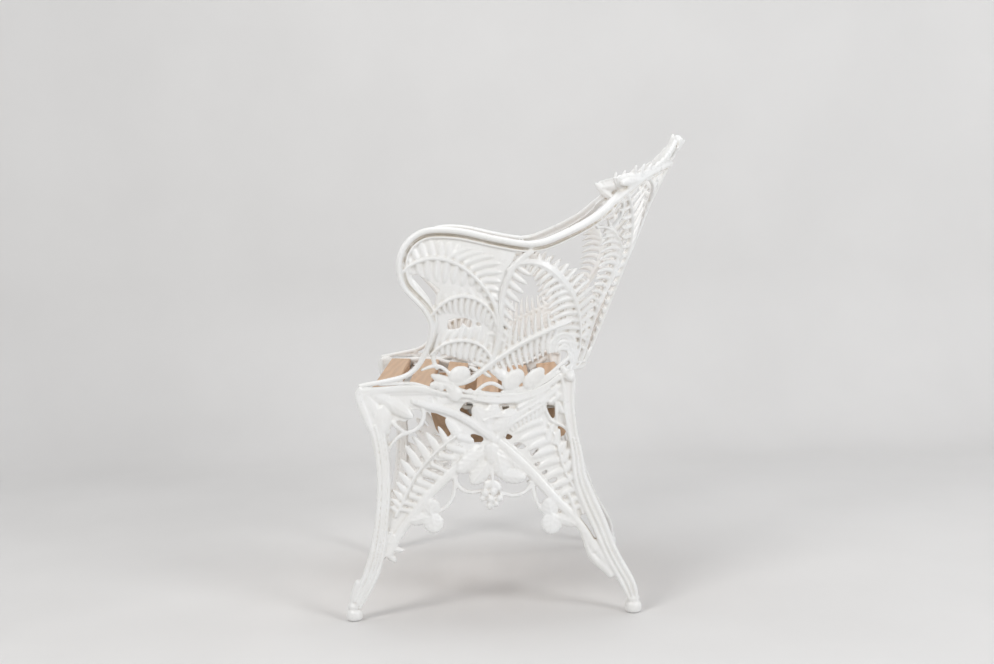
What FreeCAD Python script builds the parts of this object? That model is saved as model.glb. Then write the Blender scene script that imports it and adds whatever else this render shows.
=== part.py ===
import FreeCAD, Part
import os, math, bisect
import Sketcher
from FreeCAD import Vector, Rotation, Placement

# ---------------------------------------------------------------------------
# Garden armchair in cast iron, bolted together, with a seat of wooden slats.
# Millimetres, +Z up, the sitter faces -Y, the sitter's left is +X.
# The origin is on the floor under the middle of the chair.
# ---------------------------------------------------------------------------

doc = FreeCAD.newDocument("garden_armchair")
os.makedirs("parts", exist_ok=True)

# ------------------------------------------------------------------ the sheet
DIMS = [
    ("frame_spacing", 490.0), ("leg_thickness", 22.0), ("rail_thickness", 18.0),
    ("stem_thickness", 13.0), ("stem_width", 14.0), ("frond_thickness", 6.0),
    ("leaf_thickness", 8.0), ("tendril_width", 5.0), ("tendril_thickness", 6.0),
    ("foot_diameter", 26.0), ("foot_height", 21.0), ("foot_flat", 14.0),
    ("ledge_reach", 27.0), ("ledge_depth", 8.0),
    ("slat_width", 40.0), ("slat_height", 20.0), ("slat_pitch", 60.0),
    ("slat_length", 469.0), ("slat_first", -245.0), ("slat_round", 3.0),
    ("slat_count", 6.0), ("screw_shank", 5.0), ("screw_depth", 13.0),
    ("screw_offset", 222.0),
    ("bolt_shank", 6.0), ("bolt_clearance", 6.6), ("bolt_head_flat", 10.0),
    ("bolt_head_height", 4.0), ("nut_flat", 10.0), ("nut_height", 5.0),
    ("washer_outer", 12.0), ("washer_thickness", 1.2),
    ("screw_washer_outer", 10.0), ("screw_washer_hole", 5.5), ("screw_washer_thickness", 1.0),
    ("panel_bolt_offset", 222.0), ("tab_width", 16.0), ("tab_thickness", 6.0),
    ("rim_radius", 6.5), ("spine_radius", 4.6), ("band_radius", 3.6),
    ("base_radius", 5.6), ("pinna_root", 2.7), ("pinna_tip", 1.1),
    ("flange_thickness", 6.0), ("flange_join_low", -45.0), ("flange_join_high", 12.0),
    ("post_bolt_y", 79.0), ("post_bolt_z", 420.0),
    ("cleat_thickness", 18.0), ("cleat_inner", 188.0), ("cleat_bottom", 302.0),
    ("cleat_screw_offset", 197.0), ("cleat_screw_shank", 4.0), ("cleat_screw_reach", 22.0),
    ("cleat_screw_head", 8.0), ("cleat_screw_sink", 3.0),
]
sheet = doc.addObject("Spreadsheet::Sheet", "dims")
for row, (alias, value) in enumerate(DIMS, start=1):
    sheet.set("A%d" % row, alias)
    sheet.set("B%d" % row, "%g" % value)
    sheet.setAlias("B%d" % row, alias)
doc.recompute()


def dim(alias):
    return float(sheet.get(alias))


HALF = dim("frame_spacing") / 2.0

# --------------------------------------------------------- measured outlines
# Side view of a leg frame, (y, z) in millimetres.
FRONT_LEG_OUT = [(-290.1, 404.6), (-291.1, 395.9), (-288.4, 381.9), (-282.9, 366.0), (-276.6, 350.0), (-270.3, 334.0), (-265.8, 316.3), (-262.4, 291.6), (-260.9, 261.6), (-261.8, 229.9), (-264.6, 198.1), (-268.8, 168.0), (-275.3, 136.2), (-285.3, 102.6), (-299.0, 65.5), (-311.6, 39.0), (-317.5, 20.0)]
FRONT_LEG_IN = [(-243.5, 400.0), (-242.8, 365.0), (-242.5, 334.9), (-240.1, 306.8), (-237.9, 282.1), (-237.3, 250.3), (-239.0, 215.0), (-242.5, 181.4), (-247.4, 144.2), (-253.6, 108.8), (-262.7, 76.9), (-278.0, 48.6), (-300.5, 20.0)]
REAR_LEG_OUT = [(72.4, 437.1), (84.3, 431.5), (86.0, 394.9), (85.8, 351.1), (90.2, 317.7), (98.1, 284.0), (100.8, 254.0), (108.9, 229.0), (125.5, 191.3), (138.7, 158.9), (148.5, 128.4), (161.9, 97.6), (175.4, 72.2), (184.4, 48.5), (187.1, 20.0)]
REAR_LEG_IN = [(64.5, 430.0), (65.0, 378.0), (69.8, 334.1), (75.6, 290.0), (76.2, 245.9), (78.6, 201.6), (82.8, 158.9), (92.8, 139.0), (101.0, 113.8), (112.7, 92.0), (133.4, 78.8), (147.3, 62.3), (160.1, 40.5), (171.0, 20.0)]
SLIT = [(99.4, 193.9), (97.3, 178.0), (102.1, 163.6), (110.5, 147.3), (116.3, 134.7), (115.7, 147.2), (109.1, 163.4), (104.2, 177.8), (101.9, 190.3)]
RAIL_TOP = [(-276.3, 404.2), (-255.4, 407.9), (-231.1, 409.8), (-196.5, 410.5), (-163.8, 406.0), (-150.1, 400.5), (-132.9, 397.2), (-110.5, 393.6), (-86.4, 390.0), (-57.0, 387.4), (-27.6, 387.1), (-5.1, 390.0), (17.6, 396.3), (36.9, 405.3), (56.3, 418.7), (72.2, 431.9)]
RAIL_BOT = [(-265.4, 372.4), (-232.3, 376.6), (-197.7, 376.5), (-173.5, 374.8), (-150.9, 377.6), (-133.5, 376.9), (-111.1, 374.4), (-87.0, 371.2), (-57.6, 369.5), (-31.6, 369.5), (-5.5, 371.3), (17.1, 376.0), (36.3, 382.7), (55.4, 389.6), (76.1, 398.6)]
STEM_A = [(-192.2, 384.2), (-164.9, 373.7), (-139.1, 366.8), (-116.9, 357.4), (-96.5, 345.4), (-76.1, 330.7), (-54.1, 313.3), (-32.1, 293.3), (-11.8, 273.3), (10.2, 249.7), (30.4, 226.1), (49.0, 204.3), (66.0, 186.0), (83.0, 166.0), (99.9, 142.3), (113.0, 116.1)]
STEM_B = [(54.1, 400.3), (34.7, 384.2), (8.3, 369.3), (-14.7, 354.2), (-36.1, 333.9), (-54.1, 313.3), (-75.5, 294.7), (-98.6, 279.5), (-125.2, 261.0), (-150.4, 238.8), (-170.2, 219.9), (-186.5, 201.0), (-202.9, 180.2), (-217.5, 162.9), (-230.5, 143.7), (-245.7, 115.6)]
FROND_L_SPINE = [(-233.0, 171.7), (-221.5, 196.7), (-210.3, 217.6), (-197.3, 242.0), (-182.5, 266.3), (-164.3, 288.6), (-144.6, 305.6), (-116.9, 320.9)]
FROND_L_UP = [(-242.2, 202.7), (-236.8, 230.8), (-226.1, 261.4), (-220.1, 285.0), (-211.3, 311.1), (-196.1, 324.7), (-176.8, 330.3), (-155.7, 337.5), (-133.7, 352.2)]
FROND_L_DOWN = [(-195.7, 190.8), (-183.1, 206.1), (-173.6, 220.0), (-162.8, 230.3), (-150.2, 242.3), (-134.2, 254.2), (-112.7, 270.9), (-105.3, 283.8), (-92.9, 290.6)]
FROND_R_SPINE = [(88.2, 164.0), (83.6, 190.8), (79.0, 217.5), (74.5, 246.0), (68.3, 274.4), (58.5, 301.1), (45.2, 324.3), (31.4, 340.0)]
FROND_R_LEFT = [(62.2, 191.1), (54.1, 205.4), (40.4, 219.7), (28.1, 236.6), (13.3, 257.6), (6.4, 270.8), (-4.4, 285.3), (-16.1, 304.3), (-22.8, 316.1)]
FROND_R_RIGHT = [(99.5, 201.0), (96.7, 229.4), (92.1, 254.2), (87.4, 275.6), (79.3, 296.9), (69.3, 314.8), (59.2, 329.2)]
CENTER_LEAF = [(-121.8, 260.9), (-110.9, 274.6), (-94.9, 286.5), (-77.1, 300.0), (-63.0, 306.6), (-54.2, 309.8), (-44.1, 299.0), (-32.3, 284.5), (-20.5, 273.6), (-12.0, 264.5), (-5.4, 252.0), (-11.1, 238.0), (-25.2, 230.5), (-42.6, 231.9), (-53.2, 225.2), (-61.7, 234.3), (-70.4, 232.8), (-84.3, 235.0), (-99.7, 242.5), (-117.1, 244.8)]
UPPER_LEAF = [(-88.6, 377.7), (-85.7, 356.4), (-75.9, 338.6), (-64.1, 325.9), (-54.0, 315.1), (-45.0, 325.4), (-41.2, 339.3), (-38.9, 356.7), (-41.8, 376.3)]
TENDRILS = [
    [(-122.5, 251.0), (-121.0, 232.6), (-109.1, 223.4), (-93.5, 220.2), (-70.0, 224.5)],
    [(-57.0, 220.5), (-43.0, 216.5), (-27.5, 212.0), (-13.5, 214.2), (0.7, 223.5), (7.2, 237.4), (5.3, 256.0)],
    [(-125.5, 262.0), (-126.1, 236.3), (-130.3, 213.4), (-139.5, 197.7), (-157.0, 187.3)],
    [(8.3, 254.0), (9.5, 225.0), (14.1, 203.6), (30.0, 182.0)],
    [(-241.0, 296.7), (-229.4, 315.2), (-215.1, 326.2), (-199.3, 331.0), (-187.0, 336.7), (-177.8, 350.5), (-177.2, 378.0)],
    [(-236.0, 353.0), (-221.6, 338.7), (-206.1, 328.0)],
]
LEAVES = [
    [(-190.4, 190.4), (-177.7, 204.2), (-167.0, 210.1), (-156.7, 204.5), (-151.8, 194.6), (-153.9, 184.0), (-171.5, 180.1), (-183.6, 184.0)],
    [(-182.8, 158.2), (-182.1, 176.0), (-174.8, 186.5), (-153.9, 185.9), (-144.7, 173.1), (-149.5, 161.7), (-161.9, 155.8), (-175.9, 154.8)],
    [(22.4, 185.6), (29.7, 199.6), (42.1, 205.4), (55.9, 197.9), (62.4, 180.8), (50.0, 172.3), (34.2, 170.2), (23.9, 176.7)],
    [(22.0, 171.4), (29.2, 179.3), (48.4, 179.7), (56.9, 170.3), (55.6, 152.6), (44.0, 145.9), (30.2, 150.7), (22.6, 160.8)],
    [(-209.6, 189.3), (-186.8, 194.1), (-183.0, 176.0), (-196.5, 164.0), (-208.6, 167.0), (-217.6, 164.2)],
    [(53.3, 180.5), (69.2, 177.3), (86.8, 155.1), (70.4, 152.2), (57.4, 159.6)],
    [(-256.0, 99.6), (-238.7, 109.2), (-229.6, 117.8), (-220.8, 119.4), (-221.4, 127.4), (-230.1, 129.5), (-232.3, 140.2), (-240.9, 151.1), (-252.8, 140.8)],
    [(-279.1, 402.5), (-265.9, 404.7), (-243.4, 403.2), (-229.8, 397.5), (-209.3, 389.9), (-195.9, 377.3), (-203.4, 361.8), (-216.0, 349.9), (-228.0, 352.0), (-233.5, 343.4), (-242.6, 333.2), (-256.3, 337.1), (-264.6, 346.1), (-272.5, 367.4), (-279.5, 386.8)],
]
BERRIES = [(-69.0, 223.9), (-55.8, 225.2), (-76.2, 216.1), (-64.1, 213.1), (-51.9, 212.7), (-64.5, 200.8)]
HOLES = [
    [(-162.5, 392.0), (-157.3, 391.8), (-152.4, 384.7), (-154.3, 379.5), (-161.1, 381.5)],
    [(34.3, 371.1), (51.5, 368.0), (51.0, 348.7), (45.7, 344.5), (38.2, 356.1)],
]
FOOT_Y = [-309.5, 179.5]

# Top line of the slats, (y, z): a shallow dish from front to back.
SEAT_LINE = [(-275.0, 410.0), (-245.0, 409.5), (-185.0, 406.5), (-125.0, 398.0), (-65.0, 391.0), (-5.0, 388.5), (55.0, 392.0), (85.0, 395.0)]


def lin(table, t):
    ks = [p[0] for p in table]
    if t <= ks[0]:
        return table[0][1]
    if t >= ks[-1]:
        return table[-1][1]
    i = bisect.bisect_right(ks, t)
    a, b = table[i - 1], table[i]
    return a[1] + (b[1] - a[1]) * (t - a[0]) / (b[0] - a[0])


# ------------------------------------------------- the curved arm/back shell
BACK_LINE = [(380, 96), (405, 103), (480, 136), (557, 172), (636, 212), (716, 246), (782, 286), (840, 315)]


def clamp01(t):
    return max(0.0, min(1.0, t))


def shell_half_width(z):
    t = clamp01((z - 410) / 240.0)
    return HALF + 45.0 * (t * t * (3 - 2 * t))


def shell_depth(z):
    t = clamp01((z - 410) / 310.0)
    return 55.0 + 235.0 * t ** 0.8


def shell_power(z):
    t = clamp01((z - 410) / 310.0)
    return 3.0 - 1.0 * t


def shell_x(y, z):
    """Half width of the shell at depth y and height z."""
    a, b = shell_half_width(z), shell_depth(z)
    start = lin(BACK_LINE, z) - b
    n = shell_power(z)
    if y <= start:
        return a
    q = min(1.0, (y - start) / b)
    return a * max(0.0, 1 - q ** n) ** (1.0 / n)


def shell_point(phi, z):
    """Point of the shell at the plan angle phi in degrees: 0 is the middle of the back."""
    a, b, n = shell_half_width(z), shell_depth(z), shell_power(z)
    start = lin(BACK_LINE, z) - b
    s, c = math.sin(math.radians(phi)), math.cos(math.radians(phi))
    x = a * math.copysign(abs(s) ** (2.0 / n), s)
    y = start + b * abs(c) ** (2.0 / n)
    return Vector(x, y, z)


# ------------------------------------------------------------- sketch helpers
def origin_plane(body, role):
    for f in body.Origin.OriginFeatures:
        if getattr(f, "Role", "") == role:
            return f
    raise RuntimeError("no plane " + role)


def new_body(label):
    body = doc.addObject("PartDesign::Body", label)
    body.Label = label
    return body


def new_sketch(body, name, role, offset=0.0):
    sk = body.newObject("Sketcher::SketchObject", name)
    sk.AttachmentSupport = [(origin_plane(body, role), "")]
    sk.MapMode = "FlatFace"
    sk.AttachmentOffset = Placement(Vector(0, 0, offset), Rotation())
    return sk


def add_polygon(sk, pts):
    n = len(pts)
    first = None
    for i in range(n):
        a, b = pts[i], pts[(i + 1) % n]
        g = sk.addGeometry(Part.LineSegment(Vector(a[0], a[1], 0), Vector(b[0], b[1], 0)), False)
        if first is None:
            first = g
    for i in range(n):
        sk.addConstraint(Sketcher.Constraint("Coincident", first + i, 2, first + (i + 1) % n, 1))


def add_closed_spline(sk, pts):
    c = Part.BSplineCurve()
    c.interpolate([Vector(p[0], p[1], 0) for p in pts], PeriodicFlag=True)
    sk.addGeometry(c, False)


def add_outline(sk, side_a, side_b):
    """Closed outline from two long smooth sides joined by short straight ends."""
    ca, cb = Part.BSplineCurve(), Part.BSplineCurve()
    ca.interpolate([Vector(p[0], p[1], 0) for p in side_a])
    cb.interpolate([Vector(p[0], p[1], 0) for p in side_b])
    sk.addGeometry(ca, False)
    sk.addGeometry(Part.LineSegment(Vector(side_a[-1][0], side_a[-1][1], 0), Vector(side_b[-1][0], side_b[-1][1], 0)), False)
    sk.addGeometry(cb, False)
    sk.addGeometry(Part.LineSegment(Vector(side_b[0][0], side_b[0][1], 0), Vector(side_a[0][0], side_a[0][1], 0)), False)


def offset_sides(line, widths):
    left, right = [], []
    n = len(line)
    for i, p in enumerate(line):
        a = line[max(0, i - 1)]
        b = line[min(n - 1, i + 1)]
        dx, dy = b[0] - a[0], b[1] - a[1]
        d = math.hypot(dx, dy)
        w = widths[i] if isinstance(widths, list) else widths
        left.append((p[0] - dy / d * w / 2, p[1] + dx / d * w / 2))
        right.append((p[0] + dy / d * w / 2, p[1] - dx / d * w / 2))
    return left, right


def resample(line, count):
    c = Part.BSplineCurve()
    c.interpolate([Vector(p[0], p[1], 0) for p in line])
    pts = c.discretize(Number=count)
    return [(p.x, p.y) for p in pts]


def frond_outline(spine, tips_a, tips_b, half=4.5, notch=0.30):
    """Saw-edged frond: each tip stands on the spine, the notches between lie close to it."""
    s = resample(spine, 60)

    def side(tips):
        n = len(tips)
        pts = []
        for j, t in enumerate(tips):
            if j:
                km = int(round((0.06 + 0.90 * (j - 0.5) / (n - 0.5)) * (len(s) - 1)))
                base = s[km]
                t0 = tips[j - 1]
                mid = ((t0[0] + t[0]) / 2, (t0[1] + t[1]) / 2)
                pts.append((base[0] + (mid[0] - base[0]) * notch, base[1] + (mid[1] - base[1]) * notch))
            pts.append(t)
        return pts

    a = side(tips_a)
    b = side(tips_b)
    return [s[0]] + a + [s[-1]] + list(reversed(b))


def pad(body, sk, length, name, reverse=False, expr=None):
    p = body.newObject("PartDesign::Pad", name)
    p.Profile = sk
    p.Length = length
    p.Reversed = reverse
    p.Refine = False
    if expr:
        p.setExpression("Length", expr)
    sk.Visibility = False
    doc.recompute()
    check(p)
    return p


def check(obj):
    if "Invalid" in obj.State or "Error" in obj.State:
        raise RuntimeError("bad state in %s: %s" % (obj.Label, obj.State))
    if hasattr(obj, "Shape") and (obj.Shape.isNull() or not obj.Shape.isValid()):
        raise RuntimeError("bad shape in %s" % obj.Label)


EXPORT = []


def keep(obj):
    EXPORT.append(obj)
    return obj


# ----------------------------------------------------------------- seat facets
def slat_stations():
    out = []
    for i in range(int(dim("slat_count"))):
        y = dim("slat_first") + dim("slat_pitch") * i
        half = dim("slat_width") / 2
        slope = math.atan2(lin(SEAT_LINE, y + half) - lin(SEAT_LINE, y - half), 2 * half)
        out.append((y, lin(SEAT_LINE, y), slope))
    return out


STATIONS = slat_stations()


def ledge_top_line():
    """Top of the seat ledge: one flat seat for each slat and a level seat in each gap."""
    pts = []
    th = dim("slat_height")
    seats = []
    for (y, z, a) in STATIONS:
        cy, cz = y + th * math.sin(a), z - th * math.cos(a)
        h = dim("slat_width") / 2 + 1.0
        seats.append(((cy - h * math.cos(a), cz - h * math.sin(a)), (cy + h * math.cos(a), cz + h * math.sin(a))))
    for i, (p, q) in enumerate(seats):
        pts.append(p)
        pts.append(q)
        if i + 1 < len(seats):
            r = seats[i + 1][0]
            zg = min(q[1], r[1])
            yg0, yg1 = q[0] + 0.6, r[0] - 0.6
            pts.append((yg0, zg))
            pts.append((yg1, zg))
    return pts, seats


LEDGE, SEATS = ledge_top_line()


def gap_level(y):
    """Height of the level seat of the ledge at the gap around y."""
    for i in range(len(SEATS) - 1):
        q, r = SEATS[i][1], SEATS[i + 1][0]
        if q[0] - 1 <= y <= r[0] + 1:
            return min(q[1], r[1])
    raise RuntimeError("no gap at %g" % y)


ARM_TAB_Y = [-215.0, -95.0]
BACK_TAB_Y = [25.0]


# ================================================================ leg frames
def build_leg_frame(label, sgn):
    """One end frame: two legs, top rail, crossed stems, fronds, leaves and the seat ledge."""
    b = new_body(label)
    tag = label

    def slab(name, lo, hi, thick=None):
        """Sketch on the side plane at the low end of an outward range."""
        off = lo if sgn > 0 else -hi
        return new_sketch(b, tag + "_" + name + "_sketch", "YZ_Plane", off)

    def run(name, lo, hi, draw, alias):
        sk = slab(name, lo, hi)
        draw(sk)
        return pad(b, sk, hi - lo, tag + "_" + name, False, "dims." + alias if alias else None)

    t = dim("leg_thickness")
    run("legs", -t / 2, t / 2, lambda sk: (add_outline(sk, FRONT_LEG_OUT, FRONT_LEG_IN), add_outline(sk, REAR_LEG_OUT, REAR_LEG_IN)), "leg_thickness")
    r = dim("rail_thickness")
    run("top_rail", -r / 2, r / 2, lambda sk: add_outline(sk, RAIL_TOP, RAIL_BOT), "rail_thickness")
    s = dim("stem_thickness")
    w = dim("stem_width")
    for nm, line in (("stem_down_back", STEM_A), ("stem_down_front", STEM_B)):
        a, c = offset_sides(line, w)
        run(nm, -5.0, -5.0 + s, lambda sk: add_outline(sk, a, c), "stem_thickness")
    f = dim("frond_thickness")
    run("fronds", -2.0, -2.0 + f, lambda sk: (add_polygon(sk, frond_outline(FROND_L_SPINE, FROND_L_UP, FROND_L_DOWN)), add_polygon(sk, frond_outline(FROND_R_SPINE, FROND_R_LEFT, FROND_R_RIGHT))), "frond_thickness")
    lf = dim("leaf_thickness")
    run("center_leaf", 2.0, 2.0 + lf, lambda sk: add_closed_spline(sk, CENTER_LEAF), "leaf_thickness")
    run("upper_leaf", 1.5, 1.5 + lf, lambda sk: add_closed_spline(sk, UPPER_LEAF), "leaf_thickness")
    for i, group in enumerate(((0, 1, 2, 3, 4), (5,)), start=1):
        def draw(sk):
            for k in group:
                p, q = offset_sides(TENDRILS[k], dim("tendril_width"))
                add_outline(sk, p, q)
        run("tendrils_%d" % i, -1.0, -1.0 + dim("tendril_thickness"), draw, "tendril_thickness")
    for i, (group, lo) in enumerate((((0, 2, 4, 5, 6), -1.0), ((1, 3), 0.0), ((7,), 3.0)), start=1):
        def draw(sk):
            for k in group:
                add_closed_spline(sk, LEAVES[k])
        run("leaves_%d" % i, lo, lo + lf, draw, "leaf_thickness")
    for i, (group, lo, hi) in enumerate((((0, 4, 5), -3.0, 8.0), ((1, 2), -2.0, 9.0), ((3,), -1.0, 10.0)), start=1):
        run("berries_%d" % i, lo, hi, lambda sk: [sk.addGeometry(Part.Circle(Vector(BERRIES[k][0], BERRIES[k][1], 0), Vector(0, 0, 1), 6.9), False) for k in group], None)
    # seat ledge on the inner face
    top = LEDGE
    depth = dim("ledge_depth")
    poly = list(top) + [(p[0], p[1] - depth) for p in reversed(top)]
    hi = -r / 2 + 1.0
    lo = -r / 2 - dim("ledge_reach")
    run("seat_ledge", lo, hi, lambda sk: add_polygon(sk, poly), None)
    # feet
    for nm, y in (("front_foot", FOOT_Y[0]), ("rear_foot", FOOT_Y[1])):
        sk = new_sketch(b, tag + "_" + nm + "_sketch", "XZ_Plane", -y)
        rr, hh, fl = dim("foot_diameter") / 2, dim("foot_height"), dim("foot_flat") / 2
        c = Part.BSplineCurve()
        c.interpolate([Vector(fl, 0, 0), Vector(rr * 0.9, hh * 0.13, 0), Vector(rr, hh * 0.45, 0), Vector(rr * 0.88, hh * 0.78, 0), Vector(rr * 0.55, hh, 0)])
        sk.addGeometry(c, False)
        sk.addGeometry(Part.LineSegment(Vector(rr * 0.55, hh, 0), Vector(0, hh, 0)), False)
        sk.addGeometry(Part.LineSegment(Vector(0, hh, 0), Vector(0, 0, 0)), False)
        sk.addGeometry(Part.LineSegment(Vector(0, 0, 0), Vector(fl, 0, 0)), False)
        rev = b.newObject("PartDesign::Revolution", tag + "_" + nm)
        rev.Profile = sk
        rev.ReferenceAxis = (sk, ["V_Axis"])
        rev.Angle = 360.0
        rev.Refine = False
        doc.recompute()
        check(rev)
    # pierced openings beside the stems
    sk = new_sketch(b, tag + "_openings_sketch", "YZ_Plane", -12.0 * sgn)
    for pts in HOLES:
        add_closed_spline(sk, pts)
    add_closed_spline(sk, SLIT)
    sk.addGeometry(Part.Circle(Vector(dim("post_bolt_y"), dim("post_bolt_z"), 0), Vector(0, 0, 1), dim("bolt_clearance") / 2), False)
    po = b.newObject("PartDesign::Pocket", tag + "_openings")
    po.Profile = sk
    po.Length = 40.0
    po.Refine = False
    po.Reversed = sgn > 0
    doc.recompute()
    check(po)
    # holes down through the ledge for the slat screws and the panel bolts
    sk = new_sketch(b, tag + "_ledge_holes_sketch", "XY_Plane", 440.0)
    inner = -(HALF - dim("panel_bolt_offset")) * sgn
    ys = [st[0] for st in STATIONS] + ARM_TAB_Y + BACK_TAB_Y
    for y in ys:
        sk.addGeometry(Part.Circle(Vector(inner, y, 0), Vector(0, 0, 1), dim("bolt_clearance") / 2), False)
    po = b.newObject("PartDesign::Pocket", tag + "_ledge_holes")
    po.Profile = sk
    po.Length = 120.0
    po.Refine = False
    doc.recompute()
    check(po)
    # flutes cut along the outer face of both legs
    n = 14
    fo, fi = resample(FRONT_LEG_OUT[3:-1], n), resample(FRONT_LEG_IN[2:-1], n)
    ro, ri = resample(REAR_LEG_OUT[2:-2], n), resample(REAR_LEG_IN[1:-3], n)
    off = (t / 2) if sgn > 0 else -(t / 2)
    sk = new_sketch(b, tag + "_flutes_sketch", "YZ_Plane", off)
    for o, i2, ks in ((fo, fi, (0.36, 0.68)), (ro, ri, (0.4,))):
        for k in ks:
            mid = [(p[0] + (q[0] - p[0]) * k, p[1] + (q[1] - p[1]) * k) for p, q in zip(o, i2)]
            a, c = offset_sides(mid, 2.4)
            add_outline(sk, a, c)
    po = b.newObject("PartDesign::Pocket", tag + "_flutes")
    po.Profile = sk
    po.Length = 2.0
    po.Reversed = sgn < 0
    doc.recompute()
    check(po)
    b.Placement = Placement(Vector(HALF * sgn, 0, 0), Rotation())
    b.setExpression("Placement.Base.x", ("" if sgn > 0 else "-") + "dims.frame_spacing / 2")
    doc.recompute()
    check(b)
    return keep(b)


# ============================================== curved castings: arms and back
def tube(points, radius):
    """Round bar swept along a smooth line in space."""
    c = Part.BSplineCurve()
    c.interpolate([Vector(*p) if not isinstance(p, Vector) else p for p in points])
    n = max(1, int(round(c.length() / 60.0)))
    stops = [c.parameterAtDistance(c.length() * i / n, c.FirstParameter) for i in range(n)] + [c.LastParameter]
    wire = Part.Wire([c.toShape(stops[i], stops[i + 1]) for i in range(n)])
    start = c.value(c.FirstParameter)
    tangent = c.tangent(c.FirstParameter)[0]
    ring = Part.Wire([Part.makeCircle(radius, start, tangent)])
    try:
        bar = wire.makePipeShell([ring], True, False)
        if bar.isValid() and bar.Volume > 0:
            return bar
    except Part.OCCError:
        pass
    # loft through rings that turn as little as possible along the line
    rings, side = [], None
    for p, t in sample(points, 4 * len(points) + 1):
        if side is None:
            side = t.cross(Vector(0, 0, 1) if abs(t.z) < 0.9 else Vector(1, 0, 0))
        side = side - t * side.dot(t)
        side.normalize()
        circle = Part.makeCircle(radius)
        circle.Placement = Placement(p, Rotation(side, t.cross(side), t, "ZXY"))
        rings.append(Part.Wire([circle]))
    return Part.makeLoft(rings, True, False)


def sample(points, count):
    c = Part.BSplineCurve()
    c.interpolate([Vector(*p) if not isinstance(p, Vector) else p for p in points])
    out = []
    pts = c.discretize(Number=count)
    for p in pts:
        u = c.parameter(p)
        out.append((p, c.tangent(u)[0]))
    return out


def shell_normal(p):
    """Outward normal of the shell near a point, from its neighbours in the plan."""
    e = 2.0
    sx = 1.0 if p.x >= 0 else -1.0
    a = shell_x(p.y - e, p.z)
    b = shell_x(p.y + e, p.z)
    t = Vector(sx * (b - a), 2 * e, 0)
    if t.Length < 1e-6 or shell_x(p.y + e, p.z) < 1.0:
        t = Vector(-sx, 0, 0)
    up = Vector(sx * (shell_x(p.y, p.z + e) - shell_x(p.y, p.z - e)), 0, 2 * e)
    n = t.cross(up)
    n.normalize()
    if n.x * sx < 0:
        n = n * -1.0
    return n


def pinna(root, direction, length, r0, r1):
    d = Vector(direction)
    d.normalize()
    return Part.makeCone(r0, r1, length, root, d)


def pinnae(points, count, side, lengths, lean, first=0.08, last=0.94, r0=None, r1=None):
    """Row of tapered leaflets on one side of a spine: side +1 is to the left of travel seen from outside."""
    r0 = r0 or dim("pinna_root")
    r1 = r1 or dim("pinna_tip")
    st = sample(points, 101)
    out = []
    for i in range(count):
        k = first + (last - first) * i / max(1, count - 1)
        p, t = st[int(round(k * 100))]
        n = shell_normal(p)
        across = n.cross(t)
        across.normalize()
        ln = lin([(j / (len(lengths) - 1.0), v) for j, v in enumerate(lengths)], i / max(1.0, count - 1.0))
        a = math.radians(lean)
        d = across * (side * math.cos(a)) + t * math.sin(a)
        out.append(pinna(p, d, ln, r0, r1))
    return out


def plate(points, normal, thickness):
    """Flat leaf cut from plate, outline given in space, thickness across its own plane."""
    pts = [Vector(*p) for p in points]
    n = Vector(*normal)
    n.normalize()
    pts = [p - n * (p - pts[0]).dot(n) for p in pts]
    c = Part.BSplineCurve()
    c.interpolate(pts, PeriodicFlag=True)
    face = Part.Face(Part.Wire([c.toShape()]))
    face.translate(n * (-thickness / 2.0))
    return face.extrude(n * thickness)


RIM_ARM = [(245.0, -283.8, 413.5), (245.0, -265.9, 416.8), (245.2, -248.4, 419.3), (245.3, -231.0, 422.3), (245.5, -215.2, 425.6), (246.1, -197.6, 432.7), (247.7, -183.2, 445.5), (250.4, -172.2, 462.0), (254.5, -163.5, 481.2), (259.4, -157.5, 500.5), (263.7, -155.9, 516.4), (268.2, -160.3, 532.3), (272.1, -168.2, 546.6), (275.8, -179.4, 560.0), (278.9, -190.7, 572.5), (282.0, -200.2, 585.7), (285.2, -205.4, 601.3), (287.6, -206.4, 616.7), (289.3, -204.9, 631.9), (289.9, -200.1, 645.2), (290.0, -191.2, 658.4), (290.0, -179.9, 668.2), (290.0, -164.5, 675.6), (290.0, -140.9, 678.2), (290.0, -115.7, 676.6), (290.0, -95.6, 673.5), (290.0, -68.9, 666.8), (290.0, -43.8, 660.4), (290.0, -22.0, 655.5), (289.6, -1.9, 651.4), (288.7, 11.9, 649.7)]
RIM_BACK = [(288.7, 12.1, 649.7), (286.0, 33.6, 651.5), (281.8, 52.5, 657.1), (274.3, 75.1, 665.7), (263.7, 98.1, 675.3), (250.7, 119.7, 685.5), (237.3, 138.1, 696.0), (219.5, 158.8, 711.4), (203.8, 179.8, 727.4), (188.1, 200.7, 742.7), (168.4, 222.1, 756.8), (138.3, 245.8, 770.0), (100.7, 266.1, 781.8), (52.0, 281.0, 792.0), (0.0, 287.0, 797.0)]
BAND = [(258.0, -156.9, 500.5), (267.1, -148.5, 528.5), (271.6, -156.3, 544.5), (275.0, -167.7, 557.0), (278.7, -180.6, 571.3), (282.4, -191.7, 587.2), (286.0, -199.7, 605.8)]
ARM_A = [(287.6, -206.0, 611.0), (288.3, -187.0, 620.9), (289.0, -164.5, 629.0), (289.1, -144.2, 630.0), (288.7, -124.1, 626.0), (287.7, -104.2, 617.0), (285.8, -87.7, 604.5), (282.7, -72.3, 588.6), (278.6, -61.3, 571.0), (273.5, -54.7, 551.6), (267.6, -52.2, 530.5), (261.3, -51.6, 507.6), (255.8, -53.5, 486.4), (251.1, -58.2, 465.3), (248.0, -64.5, 446.0), (246.5, -74.0, 430.0), (245.8, -86.0, 417.0), (245.2, -100.0, 407.0)]
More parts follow.
